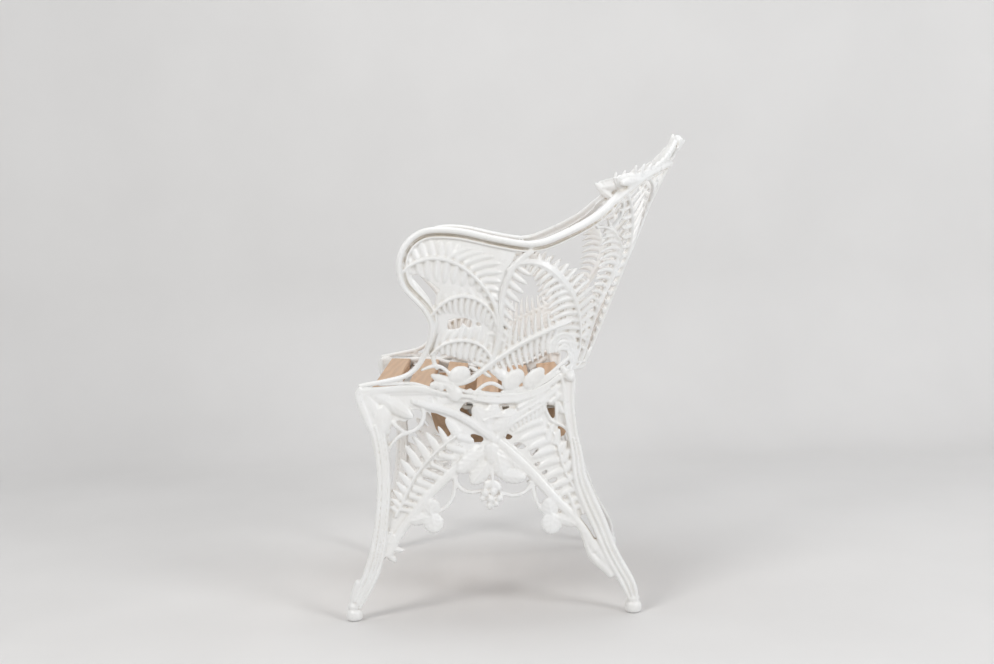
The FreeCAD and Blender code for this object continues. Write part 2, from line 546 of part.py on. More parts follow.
ARM_B = [(263.0, -156.6, 514.0), (268.8, -147.5, 535.6), (272.9, -138.8, 549.2), (275.6, -126.7, 559.2), (277.0, -109.5, 564.8), (276.9, -92.5, 564.3), (275.1, -75.8, 557.7), (272.4, -64.5, 547.7), (268.0, -52.0, 531.0)]
ARM_C = [(253.0, -164.0, 474.9), (254.4, -146.1, 482.6), (255.8, -126.3, 488.6), (256.7, -105.5, 491.1), (256.1, -85.0, 487.6), (253.9, -70.8, 477.3), (250.6, -59.2, 463.0)]
ARM_BASE = [(247.2, -186.0, 442.0), (245.5, -176.0, 424.0), (245.0, -162.2, 412.0), (245.0, -138.1, 404.2), (245.0, -112.2, 400.2), (245.0, -90.0, 397.0), (245.0, -70.0, 394.8), (245.0, -51.5, 393.6)]
BACK_D = [(245.0, -27.0, 394.6), (245.6, -36.5, 412.0), (247.6, -39.5, 440.7), (251.8, -38.4, 468.8), (258.0, -37.5, 495.2), (265.2, -37.9, 521.6), (272.5, -36.3, 547.9), (278.4, -32.3, 570.3), (283.5, -24.9, 592.5), (287.1, -14.2, 612.6), (288.8, -1.0, 627.5), (288.3, 22.0, 649.5)]
BACK_BASE = [(245.0, -38.6, 393.8), (245.0, -20.0, 396.0), (245.0, -1.2, 401.2), (243.5, 20.0, 408.0), (237.0, 38.0, 416.5), (228.0, 54.0, 425.0), (220.5, 70.0, 430.5)]
BACK_E = [(287.1, -14.9, 612.7), (287.9, -2.2, 619.1), (287.2, 14.1, 621.0), (285.1, 31.0, 617.0), (281.4, 46.1, 607.9), (276.4, 59.6, 596.2), (268.8, 73.2, 580.1), (260.1, 83.5, 562.1), (251.0, 90.5, 542.3), (241.0, 94.8, 518.9), (232.8, 95.6, 495.6), (227.0, 93.2, 472.4), (223.5, 89.0, 450.0), (218.5, 84.0, 434.0)]
BACK_F = [(247.4, -39.4, 438.0), (250.4, -29.0, 456.0), (253.1, -15.9, 470.0), (255.8, 4.7, 484.7), (258.6, 28.8, 499.1), (257.6, 54.9, 509.4), (250.0, 80.0, 521.5), (240.4, 95.0, 521.0)]
BACK_H = [(259.0, 104.6, 679.7), (243.0, 124.0, 679.0), (225.7, 150.3, 673.0), (211.0, 163.5, 661.1), (199.9, 170.3, 644.9), (191.3, 171.6, 627.1), (188.6, 167.0, 609.5), (192.9, 158.3, 592.4), (199.9, 148.6, 577.2), (206.9, 137.1, 558.7), (209.8, 127.6, 538.1), (209.4, 120.2, 517.2), (210.4, 112.6, 498.2), (210.2, 105.1, 475.5), (211.0, 98.0, 450.0), (208.5, 92.5, 434.0)]
BACK_RIB = [(phi, z) for phi, z in ((16.0, 432.0), (15.0, 470.0), (15.5, 520.0), (18.0, 570.0), (22.0, 620.0), (27.0, 665.0), (33.0, 705.0), (38.5, 735.0))]
BACK_MID = [(0.0, 428.0), (0.0, 500.0), (0.0, 580.0), (0.0, 660.0), (0.0, 730.0), (0.0, 796.0)]


def base_line(phi):
    """Bottom bar of the back, following the plan of the shell just above the seat."""
    return shell_point(phi, 430.0 + 6.0 * math.cos(math.radians(phi)))


def mirror(shape):
    return shape.mirror(Vector(0, 0, 0), Vector(1, 0, 0))


def flange(y0, y1, x0, x1, z0, z1):
    return Part.makeBox(x1 - x0, y1 - y0, z1 - z0, Vector(x0, y0, z0))


JOIN_LOW, JOIN_HIGH = dim("flange_join_low"), dim("flange_join_high")
FL = dim("flange_thickness")
LOW_BOLT = (254.0, 508.0)     # x, z of the lower flange bolt
HIGH_BOLT = (270.0, 639.0)    # x, z of the upper flange bolt


def tab(y, join_z):
    """Foot of a casting that drops behind the rail and lies on the level seat of the ledge."""
    w, t = dim("tab_width"), dim("tab_thickness")
    g = gap_level(y)
    inner = HALF - dim("rail_thickness") / 2 - 0.4
    x0 = inner - 24.0
    foot = Part.makeBox(24.0, w, t, Vector(x0, y - w / 2, g))
    web = Part.makeBox(6.5, w, join_z - g, Vector(inner - 6.5, y - w / 2, g))
    top = Part.makeBox(inner - (inner - 6.5) + 12.0, w, 7.0, Vector(inner - 6.5, y - w / 2, join_z - 7.0))
    return [foot, web, top], g


def bolt_hole(x, y, z0, z1):
    return Part.makeCylinder(dim("bolt_clearance") / 2, z1 - z0, Vector(x, y, z0), Vector(0, 0, 1))


def y_hole(x, z, y0, y1):
    return Part.makeCylinder(dim("bolt_clearance") / 2, y1 - y0, Vector(x, y0, z), Vector(0, 1, 0))


def frond(line, radius, leaflets):
    """Spine with its leaflets fused to it."""
    return tube(line, radius).multiFuse(leaflets)


def arm_panel_shape():
    """Left arm casting, drawn in place."""
    sr = dim("spine_radius")
    parts = [
        tube(RIM_ARM, dim("rim_radius")),
        tube(BAND, dim("band_radius")),
        frond(ARM_A, sr, pinnae(ARM_A, 11, 1, [16, 26, 30, 30, 32, 34, 36, 34, 30], 30, 0.04, 0.52)
              + pinnae(ARM_A, 9, -1, [12, 22, 32, 34, 32, 24, 14], 28, 0.06, 0.47)),
        frond(ARM_B, sr - 0.7, pinnae(ARM_B, 6, -1, [12, 22, 26, 26, 22, 14], 20, 0.22, 0.80)),
        frond(ARM_C, sr - 0.4, pinnae(ARM_C, 6, -1, [12, 22, 28, 28, 22, 12], 14, 0.18, 0.80)),
        tube(ARM_BASE, dim("base_radius")),
    ]
    t = 6.0
    leaf = [(245.0, -146.0, 400.0), (245.0, -150.0, 424.0), (246.0, -132.0, 441.0), (246.0, -110.0, 443.0), (246.0, -95.0, 430.0), (245.0, -97.0, 410.0), (245.0, -112.0, 398.0), (245.0, -130.0, 398.0)]
    parts.append(plate([(246.0, p[1], p[2]) for p in leaf], (1, 0, 0), t))
    # flanges towards the back casting
    parts.append(flange(JOIN_LOW - FL, JOIN_LOW - 0.05, 244.0, 264.0, 498.0, 522.0))
    parts.append(flange(JOIN_HIGH - FL, JOIN_HIGH - 0.05, 260.0, 288.0, 629.0, 650.0))
    # feet on the seat ledge
    for y in ARM_TAB_Y:
        join = 425.0 if y < -150 else 400.5
        boxes, g = tab(y, join)
        parts += boxes
    body = parts[0].multiFuse(parts[1:])
    cut = [y_hole(LOW_BOLT[0], LOW_BOLT[1], JOIN_LOW - 20, JOIN_LOW + 20), y_hole(HIGH_BOLT[0], HIGH_BOLT[1], JOIN_HIGH - 20, JOIN_HIGH + 20)]
    for y in ARM_TAB_Y:
        cut.append(bolt_hole(dim("panel_bolt_offset"), y, 360.0, gap_level(y) + 12.0))
    # room for the top rail of the leg frame under the arm
    cut.append(rail_room(-300.0, -40.0))
    body = body.cut(cut)
    return body


def rail_room(y0, y1):
    """The space under a casting that the top rail of the leg frame fills."""
    pts = [(y, lin(RAIL_TOP, y) + 0.15) for y in [y0 + (y1 - y0) * k / 40.0 for k in range(41)]]
    poly = [Vector(200.0 + 36.0 - 0.4, p[0], p[1]) for p in pts]
    poly += [Vector(235.6, y1, 340.0), Vector(235.6, y0, 340.0)]
    poly.append(poly[0])
    return Part.Face(Part.makePolygon(poly)).extrude(Vector(19.0, 0, 0))


def back_panel_shape():
    """Back casting, symmetric about the middle plane, drawn in place."""
    sr = dim("spine_radius")
    rib = [shell_point(p, z) for p, z in BACK_RIB]
    mid = [shell_point(p, z) for p, z in BACK_MID]
    half = [
        tube(BACK_D, sr),
        frond(BACK_E, sr, pinnae(BACK_E, 10, -1, [16, 22, 30, 36, 36, 36, 34, 30, 24], 10, 0.12, 0.80)
              + pinnae(BACK_E, 9, 1, [12, 16, 20, 22, 22, 18, 14], 10, 0.14, 0.78)),
        frond(BACK_F, sr - 0.3, pinnae(BACK_F, 7, 1, [14, 24, 28, 26, 20], 25, 0.10, 0.66)
              + pinnae(BACK_F, 7, -1, [14, 24, 30, 28, 22], 25, 0.10, 0.70)),
        frond(BACK_H, sr, pinnae(BACK_H, 8, 1, [16, 20, 22, 22, 22, 20, 16], 10, 0.20, 0.86)
              + pinnae(BACK_H, 8, -1, [14, 18, 22, 24, 22, 18, 16], 10, 0.20, 0.86)),
        frond(rib, sr, pinnae(rib, 11, 1, [16, 24, 30, 32, 30, 24, 16], 26, 0.10, 0.90)
              + pinnae(rib, 11, -1, [14, 20, 26, 30, 30, 26, 18], 26, 0.10, 0.90)),
    ]
    fan = pinnae(mid, 13, 1, [18, 30, 34, 40, 44, 44, 38, 26], 30, 0.06, 0.88)
    rim = [Vector(*p) for p in RIM_BACK]
    rim_all = rim + [Vector(-p.x, p.y, p.z) for p in reversed(rim[:-1])]
    base = [Vector(*p) for p in BACK_BASE] + [base_line(phi) for phi in (54, 46, 36, 20, 10, 0)]
    base_all = base + [Vector(-p.x, p.y, p.z) for p in reversed(base[:-1])]
    # room for the top rails, and the bolt holes, are taken out of the feet before they are joined
    room = rail_room(-60.0, 120.0)
    parts = [tube(rim_all, dim("rim_radius")), tube(base_all, dim("base_radius")),
             frond(mid, sr + 0.3, fan + [mirror(q) for q in fan])]
    low = flange(JOIN_LOW + 0.05, JOIN_LOW + FL, 244.0, 264.0, 498.0, 522.0)
    half.append(low.cut(y_hole(LOW_BOLT[0], LOW_BOLT[1], JOIN_LOW - 20, JOIN_LOW + 20)))
    high = flange(JOIN_HIGH + 0.05, JOIN_HIGH + FL, 260.0, 288.0, 629.0, 650.0)
    half.append(high.cut(y_hole(HIGH_BOLT[0], HIGH_BOLT[1], JOIN_HIGH - 20, JOIN_HIGH + 20)))
    for y in BACK_TAB_Y:
        boxes, g = tab(y, 408.0)
        foot = boxes[0].multiFuse(boxes[1:])
        half.append(foot.cut([room, bolt_hole(dim("panel_bolt_offset"), y, 360.0, g + 12.0)]))
    # lug that lies against the inside of the rear post
    inner = HALF - dim("leg_thickness") / 2 - 0.2
    lug = Part.makeBox(8.0, 24.0, 28.0, Vector(inner - 8.0, dim("post_bolt_y") - 14.0, 409.0))
    bridge = Part.makeBox(inner - 214.0, 8.0, 9.0, Vector(214.0, dim("post_bolt_y") - 14.0, 427.5))
    lug = lug.fuse(bridge)
    half.append(lug.cut(Part.makeCylinder(dim("bolt_clearance") / 2, 60.0, Vector(205.0, dim("post_bolt_y"), dim("post_bolt_z")), Vector(1, 0, 0))))
    # crest: a leaf and a ring above the rim
    parts.append(plate([(-30.0, 284.0, 790.0), (-22.0, 293.0, 806.0), (-10.0, 300.0, 818.0), (0.0, 303.0, 823.0), (10.0, 300.0, 818.0), (22.0, 293.0, 806.0), (30.0, 284.0, 790.0), (0.0, 282.0, 786.0)], (0, -0.87, 0.49), 6.0))
    parts.append(Part.makeTorus(12.5, 4.0, Vector(0, 308.0, 826.0), Vector(0, -0.87, 0.49)))
    parts += half + [mirror(h) for h in half]
    body = parts[0].multiFuse(parts[1:])
    return body


def place_feature(label, shape):
    """Casting as one feature: the shape is kept about its own corner and placed back."""
    base = Vector(0, 0, 0)
    f = doc.addObject("Part::Feature", label)
    f.Label = label
    f.Shape = shape
    f.Placement = Placement(base, Rotation())
    doc.recompute()
    check(f)
    if len(f.Shape.Solids) != 1:
        raise RuntimeError("%s has %d solids" % (label, len(f.Shape.Solids)))
    return keep(f)


# ===================================================================== slats
CLEAT_FROM = 2      # the cleats carry the slats from this one to the last


def cleat_outline():
    """Side view of a cleat: its top follows the slats that it carries, its foot is level."""
    top = [p for p in LEDGE if p[0] >= -165.8]
    low = dim("cleat_bottom")
    return top + [(77.0, low + 24.0), (68.0, low + 8.0), (50.0, low), (-128.0, low), (-146.0, low + 7.0), (-158.0, low + 26.0), (-165.4, low + 52.0)]


def build_cleat(label, sgn):
    """Wooden cleat on edge inside the seat ledge, with pilot holes square to each slat."""
    b = new_body(label + "_board")
    t, x = dim("cleat_thickness"), dim("cleat_inner")
    sk = new_sketch(b, label + "_section", "YZ_Plane", x if sgn > 0 else -x - t)
    add_polygon(sk, cleat_outline())
    p = pad(b, sk, t, label + "_plank", False, "dims.cleat_thickness")
    shape = p.Shape.copy()
    pilots = []
    for (y, z, a) in STATIONS[CLEAT_FROM:]:
        n = Vector(0, -math.sin(a), math.cos(a))
        top = Vector(sgn * dim("cleat_screw_offset"), y, z) - n * (dim("slat_height") - 2.0)
        pilots.append(Part.makeCylinder(dim("cleat_screw_shank") / 2, dim("cleat_screw_reach") + 3.0, top, n * -1.0))
    return place_feature(label, shape.cut(pilots))


def wood_screw_body(name):
    """Screw with its round head sunk below z 0, its pointed shank going down."""
    b = new_body(name)
    r, hr = dim("cleat_screw_shank") / 2, dim("cleat_screw_head") / 2
    sink, end = dim("cleat_screw_sink"), dim("slat_height") + dim("cleat_screw_reach")
    sk = new_sketch(b, name + "_profile", "XZ_Plane", 0.0)
    add_polygon(sk, [(0, -0.4), (hr - 0.6, -0.4), (hr, -1.0), (hr, -sink), (r, -sink), (r, -end + 4.0), (0, -end)])
    rev = b.newObject("PartDesign::Revolution", name + "_turned")
    rev.Profile = sk
    rev.ReferenceAxis = (sk, ["V_Axis"])
    rev.Angle = 360.0
    doc.recompute()
    check(rev)
    return b


def build_slat(i):
    """Wooden seat slat, rounded along its edges, with a blind hole at each end from below."""
    label = "seat_slat_%d" % (i + 1)
    b = new_body(label)
    w, h, ln = dim("slat_width"), dim("slat_height"), dim("slat_length")
    sk = new_sketch(b, label + "_section", "YZ_Plane", -ln / 2)
    pts = [(-w / 2, -h), (w / 2, -h), (w / 2, 0), (-w / 2, 0)]
    add_polygon(sk, pts)
    c1 = sk.addConstraint(Sketcher.Constraint("Horizontal", 0))
    sk.addConstraint(Sketcher.Constraint("Vertical", 1))
    sk.addConstraint(Sketcher.Constraint("Horizontal", 2))
    sk.addConstraint(Sketcher.Constraint("Vertical", 3))
    cw = sk.addConstraint(Sketcher.Constraint("DistanceX", 0, 1, 0, 2, w))
    ch = sk.addConstraint(Sketcher.Constraint("DistanceY", 1, 1, 1, 2, h))
    sk.addConstraint(Sketcher.Constraint("DistanceX", 0, 1, -1, 1, w / 2))
    sk.addConstraint(Sketcher.Constraint("DistanceY", 0, 1, -1, 1, h))
    sk.setExpression("Constraints[%d]" % cw, "dims.slat_width")
    sk.setExpression("Constraints[%d]" % ch, "dims.slat_height")
    sk.setExpression("Constraints[%d]" % (cw + 2), "dims.slat_width / 2")
    sk.setExpression("Constraints[%d]" % (ch + 2), "dims.slat_height")
    sk.setExpression("AttachmentOffset.Base.z", "-dims.slat_length / 2")
    pad(b, sk, ln, label + "_board", False, "dims.slat_length")
    sk = new_sketch(b, label + "_holes_sketch", "XY_Plane", -h)
    for s in (1, -1):
        sk.addGeometry(Part.Circle(Vector(s * dim("screw_offset"), 0, 0), Vector(0, 0, 1), dim("screw_shank") / 2), False)
    po = b.newObject("PartDesign::Pocket", label + "_screw_holes")
    po.Profile = sk
    po.Length = dim("screw_depth") + 1.0
    po.Reversed = True
    po.setExpression("Length", "dims.screw_depth + 1")
    doc.recompute()
    check(po)
    if i >= CLEAT_FROM:
        # sunk holes from above for the screws into the cleats
        for nm, dia, deep, alias in (("cleat_holes", dim("cleat_screw_shank"), h, "slat_height"), ("cleat_sinks", dim("cleat_screw_head") + 0.4, dim("cleat_screw_sink"), "cleat_screw_sink")):
            sk = new_sketch(b, "%s_%s_sketch" % (label, nm), "XY_Plane", 0.0)
            for s in (1, -1):
                sk.addGeometry(Part.Circle(Vector(s * dim("cleat_screw_offset"), 0, 0), Vector(0, 0, 1), dia / 2), False)
            before = po.Shape.Volume
            po = b.newObject("PartDesign::Pocket", "%s_%s" % (label, nm))
            po.Profile = sk
            po.Length = deep
            po.setExpression("Length", "dims." + alias)
            doc.recompute()
            check(po)
            if po.Shape.Volume >= before - 1.0:
                raise RuntimeError("nothing cut in " + po.Label)
    edges = []
    for k, e in enumerate(po.Shape.Edges, start=1):
        bb = e.BoundBox
        if bb.XLength > ln - 1 and bb.ZMax > -1:
            edges.append("Edge%d" % k)
    fi = b.newObject("PartDesign::Fillet", label + "_rounding")
    fi.Base = (po, edges)
    fi.Radius = dim("slat_round")
    fi.setExpression("Radius", "dims.slat_round")
    doc.recompute()
    check(fi)
    b.Tip = fi
    y, z, a = STATIONS[i]
    b.Placement = Placement(Vector(0, y, z), Rotation(Vector(1, 0, 0), math.degrees(a)))
    doc.recompute()
    check(b)
    return keep(b)


# ================================================================= fasteners
def hexagon(flat):
    r = flat / math.sqrt(3.0)
    return [(r * math.cos(math.radians(60 * k + 30)), r * math.sin(math.radians(60 * k + 30))) for k in range(6)]


def hex_bolt_body(name, shank, length, flat, head, pointed=False):
    """Hexagon head on z 0..head, shank below it."""
    b = new_body(name)
    sk = new_sketch(b, name + "_head_sketch", "XY_Plane", 0.0)
    add_polygon(sk, hexagon(flat))
    pad(b, sk, head, name + "_head", False, None)
    sk = new_sketch(b, name + "_shank_sketch", "XY_Plane", 0.0)
    sk.addGeometry(Part.Circle(Vector(0, 0, 0), Vector(0, 0, 1), shank / 2), False)
    p = pad(b, sk, length, name + "_shank", True, None)
    top = [("Edge%d" % k) for k, e in enumerate(p.Shape.Edges, start=1) if e.BoundBox.ZMin > head - 0.01 and len(e.Vertexes) == 2]
    end = [("Edge%d" % k) for k, e in enumerate(p.Shape.Edges, start=1) if e.BoundBox.ZMax < -length + 0.01]
    ch = b.newObject("PartDesign::Chamfer", name + "_chamfer")
    ch.Base = (p, top + end)
    ch.Size = 1.6 if pointed else 0.7
    if pointed:
        ch.Base = (p, end)
    doc.recompute()
    check(ch)
    b.Tip = ch
    return b


def nut_body(name, flat, height, hole):
    b = new_body(name)
    sk = new_sketch(b, name + "_sketch", "XY_Plane", 0.0)
    add_polygon(sk, hexagon(flat))
    sk.addGeometry(Part.Circle(Vector(0, 0, 0), Vector(0, 0, 1), hole / 2), False)
    p = pad(b, sk, height, name + "_nut", False, "dims.nut_height")
    return b


def washer_body(name, outer, hole, alias):
    b = new_body(name)
    sk = new_sketch(b, name + "_sketch", "XY_Plane", 0.0)
    sk.addGeometry(Part.Circle(Vector(0, 0, 0), Vector(0, 0, 1), outer / 2), False)
    sk.addGeometry(Part.Circle(Vector(0, 0, 0), Vector(0, 0, 1), hole / 2), False)
    pad(b, sk, dim(alias), name + "_disc", False, "dims." + alias)
    return b


def group(label, master, frames):
    """The same part set at every frame: one node holding separate solids."""
    shapes = []
    for f in frames:
        c = master.Shape.copy()
        c.Placement = f.multiply(c.Placement)
        shapes.append(c)
    g = doc.addObject("Part::Feature", label)
    g.Label = label
    g.Shape = Part.makeCompound(shapes)
    g.Placement = Placement(Vector(0, 0, 0), Rotation())
    doc.recompute()
    check(g)
    return keep(g)


def frame_at(origin, axis):
    """Placement whose local +Z points along the axis."""
    return Placement(Vector(*origin), Rotation(Vector(0, 0, 1), Vector(*axis)))


# ================================================================ the assembly
leg_left = build_leg_frame("leg_frame_left", 1)
leg_right = build_leg_frame("leg_frame_right", -1)

arm = arm_panel_shape()
place_feature("arm_panel_left", arm)
place_feature("arm_panel_right", mirror(arm))
place_feature("back_panel", back_panel_shape())

for i in range(int(dim("slat_count"))):
    build_slat(i)
build_cleat("seat_cleat_left", 1)
build_cleat("seat_cleat_right", -1)

CL, SH = dim("bolt_clearance"), dim("bolt_shank")
depth = dim("ledge_depth")

# slat screws: up through the ledge into each end of each slat
swt = dim("screw_washer_thickness")
screw = hex_bolt_body("screw_master", dim("screw_shank"), depth + swt + dim("screw_depth"), 8.0, 3.4, True)
small_washer = washer_body("screw_washer_master", dim("screw_washer_outer"), dim("screw_washer_hole"), "screw_washer_thickness")
frames, under = [], []
for (y, z, a) in STATIONS:
    for s in (1, -1):
        for lst, down in ((under, dim("slat_height") + depth), (frames, dim("slat_height") + depth + swt)):
            o = (s * dim("screw_offset"), y + down * math.sin(a), z - down * math.cos(a))
            lst.append(frame_at(o, (0, math.sin(a), -math.cos(a))))
group("slat_screws", screw, frames)
group("slat_screw_washers", small_washer, under)

# cleat screws: down through the slats into the cleats
wood_screw = wood_screw_body("wood_screw_master")
group("cleat_screws", wood_screw, [frame_at((s * dim("cleat_screw_offset"), y, z), (0, -math.sin(a), math.cos(a))) for (y, z, a) in STATIONS[CLEAT_FROM:] for s in (1, -1)])

# panel bolts: down through the feet of the castings and the ledge, nut and washer below
grip = dim("tab_thickness") + depth
wt = dim("washer_thickness")
bolt = hex_bolt_body("panel_bolt_master", SH, grip + wt + dim("nut_height") + 3.0, dim("bolt_head_flat"), dim("bolt_head_height"))
nut = nut_body("nut_master", dim("nut_flat"), dim("nut_height"), SH)
washer = washer_body("washer_master", dim("washer_outer"), CL, "washer_thickness")
bolts, nuts, washers = [], [], []
for y in ARM_TAB_Y + BACK_TAB_Y:
    g = gap_level(y)
    for s in (1, -1):
        x = s * dim("panel_bolt_offset")
        bolts.append(frame_at((x, y, g + dim("tab_thickness")), (0, 0, 1)))
        washers.append(frame_at((x, y, g - depth), (0, 0, -1)))
        nuts.append(frame_at((x, y, g - depth - wt), (0, 0, -1)))
group("panel_bolts", bolt, bolts)
group("panel_washers", washer, washers)
group("panel_nuts", nut, nuts)

# flange bolts: along Y through the paired flanges of arm and back
fb = hex_bolt_body("flange_bolt_master", SH, 2 * FL + wt + dim("nut_height") + 3.0, dim("bolt_head_flat"), dim("bolt_head_height"))
bolts, nuts, washers = [], [], []
for s in (1, -1):
    for (x, z), yj in ((LOW_BOLT, JOIN_LOW), (HIGH_BOLT, JOIN_HIGH)):
        bolts.append(frame_at((s * x, yj - FL, z), (0, -1, 0)))
        washers.append(frame_at((s * x, yj + FL, z), (0, 1, 0)))
        nuts.append(frame_at((s * x, yj + FL + wt, z), (0, 1, 0)))
group("flange_bolts", fb, bolts)
group("flange_washers", washer, washers)
group("flange_nuts", nut, nuts)

# post bolts: across through the rear posts and the lugs of the back
post_out = HALF + dim("leg_thickness") / 2
post_grip = dim("leg_thickness") + 0.2 + 8.0
pb = hex_bolt_body("post_bolt_master", SH, post_grip + wt + dim("nut_height") + 3.0, dim("bolt_head_flat"), dim("bolt_head_height"))
bolts, nuts, washers = [], [], []
for s in (1, -1):
    bolts.append(frame_at((s * post_out, dim("post_bolt_y"), dim("post_bolt_z")), (s, 0, 0)))
    washers.append(frame_at((s * (post_out - post_grip), dim("post_bolt_y"), dim("post_bolt_z")), (-s, 0, 0)))
    nuts.append(frame_at((s * (post_out - post_grip - wt), dim("post_bolt_y"), dim("post_bolt_z")), (-s, 0, 0)))
group("post_bolts", pb, bolts)
group("post_washers", washer, washers)
group("post_nuts", nut, nuts)

doc.recompute()
for obj in doc.Objects:
    if "Invalid" in obj.State or "Error" in obj.State:
        raise RuntimeError("bad state in " + obj.Label)
for obj in EXPORT:
    check(obj)
for obj in EXPORT:
    obj.Shape.exportStep("parts/%s.step" % obj.Label)
    print(obj.Label, len(obj.Shape.Solids), round(obj.Shape.Volume, 1))
box = FreeCAD.BoundBox()
for obj in EXPORT:
    box.add(obj.Shape.BoundBox)
print("overall", [round(v, 2) for v in (box.XMin, box.XMax, box.YMin, box.YMax, box.ZMin, box.ZMax)])
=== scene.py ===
"""Cast iron garden armchair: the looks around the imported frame.

Castings are drawn as many overlapping closed forms (stems, leaflets, leaf blades, berries) and
melted into one skin each, the way a pattern is filled and cast, then given a thick enamel.
Lengths in this file are millimetres until a mesh is made; the scene itself is in metres.
"""
import math

import bpy
import numpy as np
from mathutils import Matrix, Vector


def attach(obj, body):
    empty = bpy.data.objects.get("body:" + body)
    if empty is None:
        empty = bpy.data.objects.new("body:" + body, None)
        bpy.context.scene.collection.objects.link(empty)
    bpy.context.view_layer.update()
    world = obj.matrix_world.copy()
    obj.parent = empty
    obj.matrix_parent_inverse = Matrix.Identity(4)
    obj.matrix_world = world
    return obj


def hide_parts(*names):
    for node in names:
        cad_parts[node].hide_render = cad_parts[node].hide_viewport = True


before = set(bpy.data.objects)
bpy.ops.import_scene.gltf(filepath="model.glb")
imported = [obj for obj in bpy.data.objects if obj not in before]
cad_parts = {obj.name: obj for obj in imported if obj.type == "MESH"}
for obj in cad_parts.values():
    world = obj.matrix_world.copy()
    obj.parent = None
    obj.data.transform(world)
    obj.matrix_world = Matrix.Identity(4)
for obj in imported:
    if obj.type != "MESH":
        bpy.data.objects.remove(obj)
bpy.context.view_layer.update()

# ------------------------------------------------------------------ viewing geometry
FOCAL, CX, CY = 1380.0, 497.0, 332.0
EYE = np.array([2617.76, -50.18, 721.02])
PITCH, YAW, ROLL = math.radians(5.3404), math.radians(0.12456), math.radians(1.72)
AHEAD = np.array([-math.cos(YAW) * math.cos(PITCH), math.sin(YAW) * math.cos(PITCH), -math.sin(PITCH)])
RIGHT = np.array([math.sin(YAW), math.cos(YAW), 0.0])
UP = np.cross(RIGHT, AHEAD)


def rays(uv):
    uv = np.asarray(uv, float).reshape(-1, 2)
    du, dv = uv[:, 0] - CX, uv[:, 1] - CY
    c, s = math.cos(ROLL), math.sin(ROLL)
    u, v = du * c - dv * s, du * s + dv * c
    return AHEAD + np.outer(u / FOCAL, RIGHT) - np.outer(v / FOCAL, UP)


def on_plane(uv, x):
    """Points of the plane X = x seen at the given picture places."""
    r = rays(uv)
    t = (np.asarray(x) - EYE[0]) / r[:, 0]
    return EYE + r * t[:, None]


# ------------------------------------------------------------------ surfaces that carry the ornament
BACK_LINE = np.array([(380, 96), (405, 103), (480, 136), (557, 172), (636, 212), (716, 246), (782, 281), (840, 310)], float)


class Shell:
    """The wrap-round surface of arms and back: U-shaped in plan, flaring with height."""

    def params(self, z):
        t = np.clip((z - 410) / 240.0, 0, 1)
        a = 245.0 + 45.0 * (t * t * (3 - 2 * t))
        t2 = np.clip((z - 410) / 310.0, 0, 1)
        b = 55.0 + 235.0 * t2 ** 0.8
        n = 3.0 - t2
        y0 = np.interp(z, BACK_LINE[:, 0], BACK_LINE[:, 1]) - b
        return a, b, n, y0

    def level(self, P):
        x, y, z = P[..., 0], P[..., 1], P[..., 2]
        a, b, n, y0 = self.params(z)
        u = np.abs(x) / a
        v = np.maximum(0.0, (y - y0) / b)
        return (u ** n + v ** n) ** (1.0 / n)

    def project(self, P):
        P = np.array(P, float)
        a, b, n, y0 = self.params(P[..., 2])
        g = np.maximum(self.level(P), 1e-6)
        front = P[..., 1] <= y0
        x = np.where(front, np.sign(P[..., 0] + 1e-9) * a, P[..., 0] / g)
        y = np.where(front, P[..., 1], y0 + (P[..., 1] - y0) / g)
        return np.stack([x, y, P[..., 2]], -1)

    def normal(self, P):
        e = 0.8
        out = []
        for k in range(3):
            d = np.zeros(3)
            d[k] = e
            out.append(self.level(P + d) - self.level(P - d))
        N = np.stack(out, -1)
        return N / np.maximum(np.linalg.norm(N, axis=-1, keepdims=True), 1e-9)

    def x_at(self, y, z):
        a, b, n, y0 = self.params(z)
        q = np.clip((y - y0) / b, 0, 1)
        return np.where(y <= y0, a, a * np.maximum(1e-9, 1 - q ** n) ** (1.0 / n))

    def seen(self, uv):
        """Near-side points of the shell seen at picture places."""
        uv = np.asarray(uv, float).reshape(-1, 2)
        x = np.full(len(uv), 240.0)
        for k in range(40):
            P = on_plane(uv, x)
            q = self.x_at(P[:, 1], P[:, 2])
            x = 0.55 * x + 0.45 * q
        return on_plane(uv, x)

    def polar(self, phi, z):
        """Point at plan angle phi (0 = middle of the back)."""
        phi, z = np.radians(np.asarray(phi, float)), np.asarray(z, float)
        a, b, n, y0 = self.params(z)
        s, c = np.sin(phi), np.cos(phi)
        return np.stack([a * np.sign(s) * np.abs(s) ** (2 / n), y0 + b * np.abs(c) ** (2 / n), z + 0 * s], -1)


class Flat:
    """Upright plane X = x of an end frame."""

    def __init__(self, x):
        self.x = x

    def project(self, P):
        P = np.array(P, float)
        P[..., 0] = self.x
        return P

    def normal(self, P):
        N = np.zeros(np.shape(P))
        N[..., 0] = 1.0
        return N

    def seen(self, uv):
        P = on_plane(uv, self.x + 7.0)
        P[:, 0] = self.x
        return P


SHELL = Shell()
SIDE = Flat(245.0)


# ------------------------------------------------------------------ stock of closed forms
class Stock:
    def __init__(self):
        self.v, self.q, self.t, self.n = [], [], [], 0

    def add(self, V, Q=None, T=None):
        V = np.asarray(V, float).reshape(-1, 3)
        self.v.append(V)
        if Q is not None and len(Q):
            self.q.append(np.asarray(Q).reshape(-1, 4) + self.n)
        if T is not None and len(T):
            self.t.append(np.asarray(T).reshape(-1, 3) + self.n)
        self.n += len(V)

    def arrays(self):
        V = np.concatenate(self.v)
        Q = np.concatenate(self.q) if self.q else np.zeros((0, 4), int)
        T = np.concatenate(self.t) if self.t else np.zeros((0, 3), int)
        return V, Q, T

    def mirrored(self):
        V, Q, T = self.arrays()
        m = Stock()
        m.add(V * np.array([-1.0, 1.0, 1.0]), Q[:, ::-1], T[:, ::-1])
        return m

    def join(self, other):
        self.add(*other.arrays())


